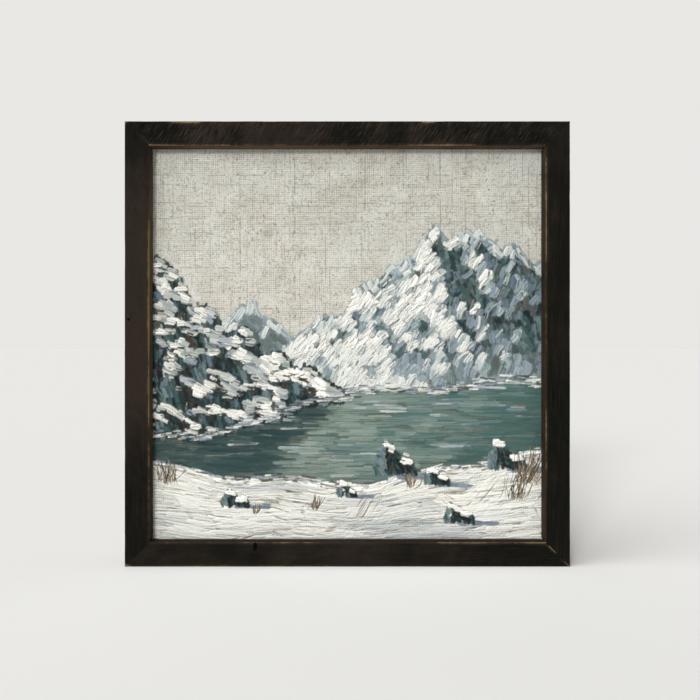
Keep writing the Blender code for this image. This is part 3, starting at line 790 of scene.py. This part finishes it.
def rubber_material():
    n = Nodes("rubber", specular=0.4)
    place = n.add("ShaderNodeTexCoord").outputs["Object"]
    grain = n.noise(place, 1800.0, 3.0)
    dust = n.noise(place, 260.0, 3.0)
    colour = n.blend(n.ramp(dust, 0.5, 0.75), srgb(30, 30, 30), srgb(58, 56, 53))
    return n.finish(colour, n.ramp(grain, 0.3, 0.7, 0.55, 0.75), n.bump(grain, 0.00006, 0.5))


def stage_material():
    n = Nodes("stage", roughness=0.9, specular=0.0)
    place = n.add("ShaderNodeTexCoord").outputs["Object"]
    mottle = n.noise(place, 3.0, 2.0)
    return n.finish(n.blend(mottle, STAGE_COLOUR * 0.995, STAGE_COLOUR * 1.005))


# ------------------------------------------------------------ the painting


def build_painting(material):
    """The painted ground and its raised strokes, in four level bands of the picture."""
    p = paint_all()
    # painted shade and painted highlight: the colour is darkened in the hollows of the paint's relief and lightened on
    # its crests; the deepest hollows turn toward a dark glaze colour, partly glaze settled there and partly painted
    # shade
    relief = p.height - box_blur(p.height, 3)
    colour = p.colour * (1 + np.clip(relief * 1.5, -0.30, 0.15))[..., None]
    colour = mix(colour, PALETTE["glaze_and_hollow_shade"], np.clip(-relief * 3.0 - 0.10, 0, 0.55)[..., None]) * PAINT_LIGHTNESS
    thin = smooth(0.28, 0.06, box_blur(p.height - p.cloth, 2))
    half = CELLS // 2

    def halved(a):
        return a.reshape(half, 2, half, 2, *a.shape[2:]).mean((1, 3))

    height, colour, thin = halved(p.height), halved(colour), halved(thin)
    pos = (np.arange(half) + 0.5) * 2 * CELL - SPAN / 2
    x, z = np.meshgrid(pos, pos)
    reach = np.maximum(np.abs(x), np.abs(z))
    under_lip = smooth(152.6, 151.2, reach)  # the strokes lie flat where the rails cover them
    height = 0.06 + np.maximum(height + 0.06, 0.0) * under_lip
    bands = 4
    rows = half // bands
    for band in range(bands):
        low, high = band * rows, min(half, (band + 1) * rows + 1)
        part = np.s_[low:high]
        y = FRONT + CANVAS_FRONT - height[part]
        points = np.stack([x[part], y, z[part] + HALF], -1).reshape(-1, 3)
        obj = add_mesh(f"painting_{band}", points, grid_faces(high - low, half))
        add_values(obj, "paint", np.concatenate([colour[part], np.ones((high - low, half, 1))], -1).reshape(-1, 4))
        add_values(obj, "thin", thin[part].ravel())
        finish_piece(obj, material)


# ------------------------------------------------------------ rails


def outline(corners):
    """A closed outline of points, from (inward, depth, radius, pitch) corners, with the outward direction at
    each. The points of the edge that follows a corner are about pitch apart."""
    points = []
    count = len(corners)
    legs = []
    for index, (x, y, radius, _pitch) in enumerate(corners):
        here = np.array((x, y), float)
        before = np.array(corners[index - 1][:2]) - here
        after = np.array(corners[(index + 1) % count][:2]) - here
        before, after = before / np.linalg.norm(before), after / np.linalg.norm(after)
        half_angle = math.acos(np.clip(before @ after, -1, 1)) / 2
        if radius == 0:
            legs.append([here])
            continue
        back = radius / math.tan(half_angle)
        centre = here + (before + after) / np.linalg.norm(before + after) * radius / math.sin(half_angle)
        start, end = here + before * back - centre, here + after * back - centre
        angle0 = math.atan2(start[1], start[0])
        sweep = (math.atan2(end[1], end[0]) - angle0 + math.pi) % (2 * math.pi) - math.pi
        steps = 6
        legs.append([centre + radius * np.array((math.cos(angle0 + sweep * k / steps), math.sin(angle0 + sweep * k / steps))) for k in range(steps + 1)])
    for index, leg in enumerate(legs):
        points.extend(leg)
        following = legs[(index + 1) % count][0]
        gap = following - leg[-1]
        steps = max(1, round(np.linalg.norm(gap) / corners[index][3]))
        points.extend(leg[-1] + gap * k / steps for k in range(1, steps))
    points = np.array(points)
    tangent = np.roll(points, -1, 0) - np.roll(points, 1, 0)
    normal = np.column_stack([tangent[:, 1], -tangent[:, 0]])
    normal /= np.linalg.norm(normal, axis=1, keepdims=True)
    area = 0.5 * np.sum(points[:, 0] * np.roll(points[:, 1], -1) - np.roll(points[:, 0], -1) * points[:, 1])
    return points, normal * (1 if area > 0 else -1)


def mitred_bar(name, side, corners, half, stations, displace):
    """A bar of that outline between two mitres. displace(along, inward, depth, across) gives how far each
    point moves outwards, in mm, and across is the way round the outline."""
    points, normal = outline(corners)
    lengths = np.linalg.norm(np.roll(points, -1, 0) - points, axis=1)
    across = np.concatenate([[0], np.cumsum(lengths)[:-1]])
    inward, depth = points[:, 0][None, :], points[:, 1][None, :]
    reach = HALF - inward
    along = stations[:, None] * reach
    out = displace(along, inward, depth, across[None, :])
    near_end = np.clip((1 - np.abs(stations)) * half / 1.5, 0, 1)[:, None]
    out = np.minimum(out, 0) * (0.3 + 0.7 * near_end) + np.maximum(out, 0) * near_end
    inward2 = inward + normal[:, 0][None, :] * out
    depth2 = depth + normal[:, 1][None, :] * out
    world = to_world(side, along, inward2, depth2)
    rows, columns = along.shape
    faces = grid_faces(rows, columns, wrap_columns=True)[:, ::-1].tolist()
    faces.append(list(range(columns)))
    faces.append([(rows - 1) * columns + k for k in range(columns)][::-1])
    obj = add_mesh(name, world.reshape(-1, 3), faces)
    for polygon in obj.data.polygons[-2:]:
        polygon.use_smooth = False
    offset = 400.0 * SIDES.index(side)
    grain = np.stack(np.broadcast_arrays(along + offset, across[None, :], depth * 0.3 + offset), -1)
    add_values(obj, "grain", grain.reshape(-1, 3))
    return obj, along, inward, depth, across[None, :]


RAIL_CORNERS = (  # inward, depth, radius, and how far apart the points after it are
    (0, 0, 0.8, 0.9),
    (RAIL_FACE, 0, 1.1, 0.9),
    (RAIL_FACE, LIP_DEPTH, 0.3, 2.0),
    (WEB, LIP_DEPTH, 0, 3.0),
    (WEB, RAIL_DEPTH, 0.4, 3.0),
    (0, RAIL_DEPTH, 0.6, 1.6),
)
SAW_TURN = math.radians(-33)  # the saw lines climb to the right at 57 degrees

# Along each rail, clockwise from -171 to 171 mm: how brown its stain is, and how far its inner and outer
# arrises are rubbed through, from 0 to 1.
BROWN = {
    "top": ((-171, 0.10), (-132, 0.15), (-118, 0.75), (-40, 0.65), (0, 0.25), (50, 0.35), (70, 0.5), (95, 0.2), (171, 0.25)),
    "right": ((-171, 0.25), (-60, 0.15), (0, 0.12), (60, 0.0), (120, 0.1), (171, 0.15)),
    "bottom": ((-171, 0.0), (-130, 0.1), (-70, 0.33), (0, 0.38), (110, 0.30), (171, 0.22)),
    "left": ((-171, 0.05), (-114, 0.10), (-82, 0.5), (-40, 0.85), (60, 0.95), (125, 0.7), (145, 0.35), (171, 0.3)),
}
INNER_WEAR = {
    "top": ((-152, 1.0), (-137, 0.8), (-85, 0.72), (-10, 0.6), (45, 0.85), (65, 1.05), (98, 0.85), (104, 0.35), (125, 0.35), (150, 0.6)),
    "right": ((-149, 0.2), (-138, 0.9), (-72, 0.9), (-60, 0.55), (0, 0.6), (43, 0.5), (55, 0.8), (97, 0.75), (112, 0.35), (151, 0.3)),
    "bottom": ((-152, 0.95), (-75, 0.85), (-60, 0.5), (-41, 0.45), (5, 0.5), (22, 0.75), (75, 0.75), (136, 0.6), (152, 0.2)),
    "left": ((-150, 0.6), (-107, 0.65), (-82, 0.8), (-70, 0.5), (-60, 1.0), (85, 1.0), (96, 0.6), (120, 0.55), (150, 0.3)),
}
OUTER_WEAR = {
    "top": ((-171, 1.5), (-168, 0.3), (-163, 0.2), (-141, 0.2), (-134, 1.1), (-116, 1.1), (-110, 0.35), (55, 0.15), (59, 1.4), (66, 1.4), (70, 0.1), (148, 0.2), (171, 0.6)),
    "right": ((-171, 0.4), (-160, 0.1), (-50, 0.1), (-38, 0.45), (5, 0.45), (12, 0.1), (160, 0.2), (171, 0.5)),
    "bottom": ((-171, 0.3), (-120, 0.3), (-70, 0.75), (166, 0.85), (171, 1.8)),
    "left": ((-171, 1.8), (-167, 0.5), (-163, 0.1), (160, 0.15), (168, 0.4), (171, 1.5)),
}
MITRE_WEAR = {  # how far in from the outer corner, and how far it is rubbed through there
    ("bottom", -1): ((0, 0.9), (1.5, 0.66), (6, 0.62), (7.5, 0.1), (9.5, 0.1), (11, 1.15), (16, 1.0), (18, 0.4)),
    ("top", -1): ((0, 0.1), (7.5, 0.1), (8.5, 0.6), (17, 0.55), (19, 0.4)),
    ("top", 1): ((0, 0.3), (6, 0.4), (8, 0.1), (19, 0.1)),
    ("bottom", 1): ((0, 0.5), (3, 0.4), (5, 0.1), (19, 0.1)),
}
# painted light: how much lighter each inner wall is painted, standing for light thrown back on it from the canvas, so
# it differs by side
WALL_BOUNCE_LIGHT = {"top": 1.45, "right": 1.15, "bottom": 0.45, "left": 1.2}
LEAN = {"top": 0.45, "right": 1.0, "bottom": 0.0, "left": 0.5}  # the inner walls lean into the opening
MARKS = (  # side, along, inward, half length, half width, depth
    ("bottom", 70.8, 15.4, 1.5, 3.3, 1.2),
    ("left", 18.8, 3.2, 0.9, 0.9, 1.8),
    ("top", -118.0, 6.0, 2.4, 0.9, 0.35),
    ("right", 40.0, 12.0, 3.0, 0.8, 0.3),
    ("bottom", -96.0, 5.0, 2.0, 1.0, 0.35),
    ("left", -92.0, 13.0, 3.4, 0.7, 0.3),
)


def level_along(stops, along):
    places, amounts = zip(*stops, strict=True)
    return np.interp(along, places, amounts)


def mark_fields(side, along, inward, depth):
    """How deep the dents of one rail's face go, in mm, and how dark they are, from 0 to 1."""
    deep, dark = 0.0, 0.0
    for where, at, across, length, width, depth_of in MARKS:
        if where == side:
            far = np.hypot((along - at) / length, (inward - across) / width)
            far = np.where(depth < 3.0, far, 9.0)
            deep = np.maximum(deep, depth_of * smooth(1.25, 0.35, far))
            dark = np.maximum(dark, min(1.0, depth_of) * smooth(1.15, 0.85, far))
    return deep, dark


def build_rail(side, material):
    seed = 300 + 20 * SIDES.index(side)
    stations = [np.linspace(-1, 1, 380)]
    stations += [end * (1 - np.array((0.1, 0.25, 0.45, 0.8)) / HALF) for end in (-1, 1)]
    for where, at, across, length, width, deep in MARKS:
        if where == side:
            stations.append((at + np.linspace(-1.6, 1.6, 15) * length) / (HALF - across))
    stations = np.unique(np.concatenate(stations))

    def displace(along, inward, depth, across):
        waves = 0.10 * (fbm(along / 45, across / 14, seed, 3) - 0.5)
        grain = 0.07 * (fbm(along / 30, across / 0.9, seed + 1, 3) - 0.5)
        inner, outer = np.hypot(inward - RAIL_FACE, depth), np.hypot(inward, depth)
        nick = np.clip(fbm(along / 11, along * 0 + 3, seed + 5, 4) - 0.45, 0, 1)
        chip = np.clip(fbm(along / 14, along * 0 + 7, seed + 6, 3) - 0.45, 0, 1)
        worn = np.clip(level_along(INNER_WEAR[side], along), 0, 1)
        rounded = smooth(2.4, 0.2, inner) * (0.15 + 0.35 * worn + 0.9 * nick)
        rounded = rounded + smooth(2.0, 0.2, outer) * (0.10 + 0.5 * chip)
        joint = 0.16 * smooth(0.4, 0.0, HALF - inward - np.abs(along)) * (depth < 0.5)
        on_wall = (np.abs(inward - RAIL_FACE) < 0.5) & (depth > 0.8) & (depth < LIP_DEPTH + 0.1)
        lean = on_wall * LEAN[side] * depth / LIP_DEPTH
        return waves + grain - rounded - joint + lean - mark_fields(side, along, inward, depth)[0]

    obj, along, inward, depth, across = mitred_bar(
        "visual_rail_" + side, side, RAIL_CORNERS, HALF, stations, displace
    )

    def hem(level, lane):
        """How far from an arris the wood is bare, in mm: below 0 only specks are."""
        patch = fbm(along / 16 + lane * 9, along * 0 + lane, seed + 3, 3) - 0.5
        speck = fbm(along / 2.2 + lane * 5, along * 0 + lane, seed + 7, 3) - 0.5
        return -0.95 + level * (2.0 + 1.4 * patch) + 0.7 * speck

    inner, outer = np.hypot(inward - RAIL_FACE, depth * (0.4 if side == "left" else 0.7)), np.hypot(inward, depth)
    joint = (HALF - inward - np.abs(along)) * 0.7
    rub = hem(level_along(INNER_WEAR[side], along), 1.0) - inner
    rub = np.maximum(rub, hem(level_along(OUTER_WEAR[side], along), 2.0) - outer - 0.2)
    for end in (-1, 1):
        level = level_along(MITRE_WEAR.get((side, end), ((0, 0.1), (19, 0.1))), inward)
        on_joint = hem(level, 4.0 + end) - 0.3 + 1.0 * (fbm(inward / 3.0 + along * 0, along * 0 + end, seed + 4, 3) - 0.5) - joint
        rub = np.maximum(rub, np.where((np.sign(along) == end) & (depth < 0.6), on_joint, -9))
    tone = level_along(BROWN[side], along) + 0.5 * (fbm(along / 40, across / 7, seed + 10, 3) - 0.5)
    wall = (np.abs(inward - RAIL_FACE) < 1.0) & (depth > 0.8) & (depth < LIP_DEPTH)
    # painted light: the inner walls get a lighter tone, different on each side
    tone = np.where(wall, 0.5 * tone + WALL_BOUNCE_LIGHT[side], tone)
    saw = {"top": 1.0, "bottom": 0.12}.get(side, 0.05) * (depth < 1.2) * (0.30 + 0.70 * smooth(0.35, 0.6, fbm(along / 30, inward / 25, 405, 3)))
    hole = mark_fields(side, along, inward, depth)[1]
    hole = np.maximum(hole, 0.75 * smooth(0.35, 0.05, joint) * (depth < 0.6) * (rub < 0.1))
    for name, values in (("rub", np.clip(rub, -4, 4) - 4 * hole), ("tone", np.clip(tone, 0, 2.2)), ("saw", saw), ("hole", hole)):
        add_values(obj, name, np.broadcast_to(values, along.shape).ravel())
    return finish_piece(obj, material, ["rail_" + side])


# ------------------------------------------------------------ canvas and stretcher


def build_canvas(material):
    """One sheet: the front, a turn round each edge of the bars, and margins stapled to their backs."""
    h = CANVAS_HALF - 0.25
    front, back = FRONT + CANVAS_FRONT + 0.10, FRONT + CANVAS_BACK - 0.25
    turn = 1.3
    # from the middle of the front, over the edge, down the side and back over the bar
    path = [(t * (h - turn), front) for t in np.linspace(0, 1, 24)]
    path += [(h - turn + turn * math.sin(a), front + turn * (1 - math.cos(a))) for a in np.linspace(0.3, math.pi / 2, 5)]
    path += [(h, y) for y in np.linspace(front + turn + 1, back - turn - 1, 10)]
    path += [(h - turn + turn * math.cos(a), back - turn + turn * math.sin(a)) for a in np.linspace(0, math.pi / 2 - 0.3, 5)]
    margin = [h - turn - t for t in np.linspace(0.3, 13.0, 12)]
    path += [(r, back) for r in margin]
    path = np.array(path)
    columns = len(path)
    per_side = 110
    turnsteps = []
    for quarter in range(4):
        for k in range(per_side):
            turnsteps.append((quarter, -1 + 2 * k / per_side))
    points = []
    for quarter, t in turnsteps:
        side = SIDES[quarter]
        for c, (r, y) in enumerate(path):
            edge = fbm(np.array(t * 40.0 + quarter * 77), np.array(3.0), 501, 3) if c == columns - 1 else 0.0
            ragged = 0.9 * (edge - 0.5) if c == columns - 1 else 0.0
            ripple = 0.0
            if c > columns - 13:
                ripple = 0.10 * (fbm(np.array(t * 26.0 + quarter * 31), np.array(r / 9), 503, 2) - 0.5)
            points.append(to_world(side, t * r, HALF - r - ragged, y - FRONT - ripple))
    rows = len(turnsteps)
    points = np.array(points)
    faces = grid_faces(rows, columns, wrap_rows=True)
    # the innermost ring is one point in the middle of the front
    ring = np.arange(rows) * columns
    index = np.arange(len(points))
    index[ring] = ring[0]
    faces = [list(dict.fromkeys(index[list(f)].tolist())) for f in faces]
    used = sorted(set(i for f in faces for i in f))
    lookup = {old: new for new, old in enumerate(used)}
    obj = add_mesh("visual_canvas", points[used], [[lookup[i] for i in f] for f in faces])
    finish_piece(obj, material, ["canvas"])
    return obj


def build_folds(material):
    """The cloth's spare at each corner, folded flat on the back under the margin."""
    back = FRONT + CANVAS_BACK - 0.25 + 0.05
    h = CANVAS_HALF - 1.2
    points, faces = [], []
    for sx in (-1, 1):
        for sz in (-1, 1):
            start = len(points)
            rim = [(0.2, 0.2), (13.5, 0.6), (12.6, 5.5), (11.8, 11.6), (5.6, 12.4), (0.6, 13.2)]
            for a, b in rim:
                points.append((sx * (h - a), back + 0.10, HALF + sz * (h - b)))
            for a, b in rim:
                points.append((sx * (h - a), back + 0.42, HALF + sz * (h - b)))
            count = len(rim)
            flip = sx * sz > 0
            top = [start + count + k for k in range(count)]
            faces.append(top if flip else top[::-1])
            for k in range(count):
                q = [start + k, start + (k + 1) % count, start + count + (k + 1) % count, start + count + k]
                faces.append(q if flip else q[::-1])
    obj = add_mesh("canvas_corner_folds", points, faces, False)
    return finish_piece(obj, material)


def build_staples(material):
    """Wire staples through the margins into the bars."""
    rng = np.random.default_rng(61)
    work = bmesh.new()
    back = FRONT + CANVAS_BACK - 0.05
    for side in SIDES:
        for at in np.linspace(-118, 118, 6):
            along = at + rng.uniform(-3, 3)
            middle = to_world(side, along, HALF - CANVAS_HALF + rng.uniform(6.5, 8.5), back + 0.25 - FRONT)
            turn = rng.normal(0, 0.10) + {"top": 0, "right": math.pi / 2, "bottom": 0, "left": math.pi / 2}[side]
            place = Matrix.Translation(Vector(middle) * MM) @ Matrix.Rotation(turn, 4, "Y")
            for size, shift in (((10.5, 0.45, 1.1), (0, 0, 0)), ((0.7, 1.0, 1.1), (-5.1, -0.3, 0)), ((0.7, 1.0, 1.1), (5.1, -0.3, 0))):
                box = bmesh.ops.create_cube(work, size=1.0)["verts"]
                bmesh.ops.scale(work, verts=box, vec=Vector(size) * MM)
                bmesh.ops.translate(work, verts=box, vec=Vector(shift) * MM)
                bmesh.ops.transform(work, verts=box, matrix=place)
    mesh = bpy.data.meshes.new("staples")
    work.to_mesh(mesh)
    work.free()
    obj = bpy.data.objects.new("staples", mesh)
    bpy.context.scene.collection.objects.link(obj)
    bevel = obj.modifiers.new("Rounded wire", "BEVEL")
    bevel.width = 0.15 * MM
    bevel.segments = 2
    return finish_piece(obj, material)


def build_stretcher(side, material):
    inset = HALF - BAR_HALF
    corners = (
        (inset, BAR_FRONT, 1.0, 2.5),
        (inset + 5, BAR_FRONT, 0.8, 3.0),
        (inset + BAR_WIDTH, BAR_FRONT + 2.5, 0.8, 2.0),
        (inset + BAR_WIDTH, BAR_FRONT + BAR_THICK, 1.2, 1.6),
        (inset, BAR_FRONT + BAR_THICK, 1.2, 3.0),
    )
    seed = 700 + 20 * SIDES.index(side)

    def displace(along, inward, depth, across):
        plane = 0.05 * (fbm(along / 9, across / 30, seed, 2) - 0.6)
        return plane + 0.06 * (fbm(along / 40, across / 1.2, seed + 1, 3) - 0.6)

    obj, *rest = mitred_bar("visual_stretcher_" + side, side, corners, BAR_HALF, np.linspace(-1, 1, 160), displace)
    return finish_piece(obj, material, ["stretcher_" + side])


# ------------------------------------------------------------ fittings


def turned(name, profile, spots, steps=40, recess=None):
    """Turned pieces: (radius, height) points from the top of the axis to its foot, one at each spot, with
    the top towards the wall. recess(x, z) lowers the points of the head."""
    angles = np.arange(steps) * 2 * math.pi / steps
    radius, height = (np.array(v, float) for v in zip(*profile, strict=True))
    x = radius[:, None] * np.cos(angles)
    z = radius[:, None] * np.sin(angles)
    y = np.repeat(height[:, None], steps, 1)
    if recess:
        y = y - np.where(height[:, None] > 0.2, recess(x, z), 0)
    points, faces = [], []
    for spot in spots:
        start = len(points)
        points.extend((spot + np.stack([x, y, z], -1).reshape(-1, 3)).tolist())
        faces.extend((grid_faces(len(profile), steps, wrap_columns=True) + start).tolist())
    obj = add_mesh(name, points, faces)
    work = bmesh.new()
    work.from_mesh(obj.data)
    bmesh.ops.remove_doubles(work, verts=work.verts, dist=0.001 * MM)
    bmesh.ops.recalc_face_normals(work, faces=work.faces)
    work.to_mesh(obj.data)
    work.free()
    return obj


def build_fittings(zinc, brass, rubber):
    on_clip = FRONT + RAIL_DEPTH + 0.3 + 1.0 + 0.3
    out = HALF - WEB / 2
    head = [(3.2 * math.sin(a), 1.6 * (0.35 + 0.65 * math.cos(a))) for a in np.linspace(0, math.pi / 2, 22)]
    shank = [(3.2, 0.0), (1.4, 0.0), (1.4, -7.0), (0.0, -10.0)]

    def cross(x, z):
        arm = np.minimum(np.abs(x), np.abs(z)) < 0.42
        return 0.9 * arm * smooth(2.1, 1.3, np.hypot(x, z))

    for side, sx in (("left", -1), ("right", 1)):
        for level, sz in (("low", -1), ("high", 1)):
            spot = np.array((sx * out, on_clip, HALF + sz * 0.25 * OUTER))
            screw = turned(f"visual_screw_{side}_{level}", head + shank, [spot], 96, cross)
            finish_piece(screw, zinc, [f"screw_{side}_{level}"])
            clip = nodes[f"clip_{side}_{level}"]
            bevel(clip, 0.25)
            repaint(clip, zinc)
    on_hanger = FRONT + RAIL_DEPTH + 0.3 + 0.8 + 0.3
    nail = [(0.0, 0.62), (0.7, 0.6), (1.25, 0.52), (1.6, 0.36), (1.7, 0.15), (1.65, 0.0), (0.7, 0.0), (0.7, -8.6), (0.0, -10.0)]
    for side, sx in (("left", -1), ("right", 1)):
        spot = np.array((sx * (22.5 - 3.8), on_hanger, HALF + out))
        finish_piece(turned("visual_nail_" + side, nail, [spot]), brass, ["nail_" + side])
    bevel(nodes["hanger"], 0.15)
    repaint(nodes["hanger"], brass)
    pad = [(0.0, 3.2), (2.0, 3.19), (3.6, 3.15)]
    pad += [(4.8 - 1.2 * (1 - math.sin(a)), 2.0 + 1.2 * math.cos(a)) for a in np.linspace(0.2, math.pi / 2, 8)]
    pad += [(4.8, 1.0), (4.75, 0.1), (4.6, 0.0), (0.0, 0.0)]
    for side, sx in (("left", -1), ("right", 1)):
        spot = np.array((sx * (HALF - 22.0), FRONT + RAIL_DEPTH + 0.3, HALF - out))
        finish_piece(turned("visual_bumper_" + side, pad, [spot], 56), rubber, ["bumper_" + side])


def bevel(obj, width):
    modifier = obj.modifiers.new("Edges", "BEVEL")
    modifier.width = width * MM
    modifier.segments = 2
    modifier.limit_method = "ANGLE"
    modifier.angle_limit = math.radians(35)


def repaint(obj, material):
    obj.data.materials.clear()
    obj.data.materials.append(material)


# ------------------------------------------------------------ stage, light and camera

SKY_COLOUR = srgb(233, 232, 228)
SKY_TOP = 0.04
STAGE_COLOUR = np.array((0.864, 0.857, 0.838))
SKY_BRIGHT_TO, SKY_DIM_FROM = 0.36, 0.46  # sines of the height where the sky starts to fade and ends


def build_stage():
    """A flat floor, far wider than the object, that meets the sky at the horizon."""
    rings = np.geomspace(100, 40000, 40)
    angles = np.arange(64) * 2 * math.pi / 64
    points = np.stack(np.broadcast_arrays(rings[:, None] * np.cos(angles), rings[:, None] * np.sin(angles), -0.02), -1)
    points = np.concatenate([points.reshape(-1, 3), [[0, 0, -0.02]]])
    faces = grid_faces(len(rings), 64, wrap_columns=True).tolist()
    faces += [[len(points) - 1, k, (k + 1) % 64] for k in range(64)]
    floor = add_mesh("floor", points, faces)
    work = bmesh.new()
    work.from_mesh(floor.data)
    bmesh.ops.recalc_face_normals(work, faces=work.faces)
    work.to_mesh(floor.data)
    work.free()
    floor.data.materials.append(stage_material())


def add_sun(name, azimuth, elevation, strength, width):
    """A far soft light, azimuth degrees to the left of the front and elevation degrees up."""
    lamp = bpy.data.lights.new(name, "SUN")
    lamp.energy = strength
    lamp.angle = math.radians(width)
    obj = bpy.data.objects.new(name, lamp)
    turn, rise = math.radians(azimuth), math.radians(elevation)
    towards = Vector((-math.sin(turn) * math.cos(rise), -math.cos(turn) * math.cos(rise), math.sin(rise)))
    obj.rotation_euler = towards.to_track_quat("Z", "Y").to_euler()
    bpy.context.scene.collection.objects.link(obj)


def build_camera():
    lens = bpy.data.cameras.new("camera")
    lens.lens = 53.76
    lens.sensor_width = 36.0
    lens.shift_x = 2.65 / 700
    lens.shift_y = -6.1 / 700
    camera = bpy.data.objects.new("camera", lens)
    camera.location = (0, FRONT * MM - 0.804, HALF * MM)
    camera.rotation_euler = (math.pi / 2, 0, 0)
    bpy.context.scene.collection.objects.link(camera)
    bpy.context.scene.camera = camera


def light_world():
    """A sky that is as bright as the floor near the horizon, and dimmer overhead."""
    world = bpy.data.worlds.new("world")
    world.use_nodes = True
    tree = world.node_tree
    height = tree.nodes.new("ShaderNodeSeparateXYZ")
    place = tree.nodes.new("ShaderNodeTexCoord")
    fade = tree.nodes.new("ShaderNodeMapRange")
    tree.links.new(place.outputs["Generated"], height.inputs[0])
    tree.links.new(height.outputs["Z"], fade.inputs["Value"])
    for name, value in (("From Min", SKY_BRIGHT_TO), ("From Max", SKY_DIM_FROM), ("To Min", 1.0), ("To Max", SKY_TOP)):
        fade.inputs[name].default_value = value
    background = tree.nodes["Background"]
    background.inputs["Color"].default_value = (*SKY_COLOUR, 1.0)
    tree.links.new(fade.outputs["Result"], background.inputs["Strength"])
    bpy.context.scene.world = world


def main():
    stained = stained_wood_material()
    pine = pine_material()
    cloth = cloth_material()
    zinc = metal_material("zinc_steel", srgb(196, 198, 200), srgb(150, 152, 154), 0.34)
    brass = metal_material("brass_plate", srgb(214, 178, 104), srgb(168, 132, 70), 0.32)
    rails = [build_rail(side, stained) for side in SIDES]
    bars = [build_stretcher(side, pine) for side in SIDES]
    build_painting(paint_material())
    canvas = build_canvas(cloth)
    folds = build_folds(cloth)
    staples = build_staples(zinc)
    build_fittings(zinc, brass, rubber_material())
    build_stage()
    build_camera()
    light_world()
    add_sun("key", 15, 18, 1.98, 12)
    add_sun("softbox", 36, 54, 2.10, 60)
    add_sun("fill", 160, 22, 0.40, 60)
    bpy.context.scene.view_settings.view_transform = "Standard"


main()
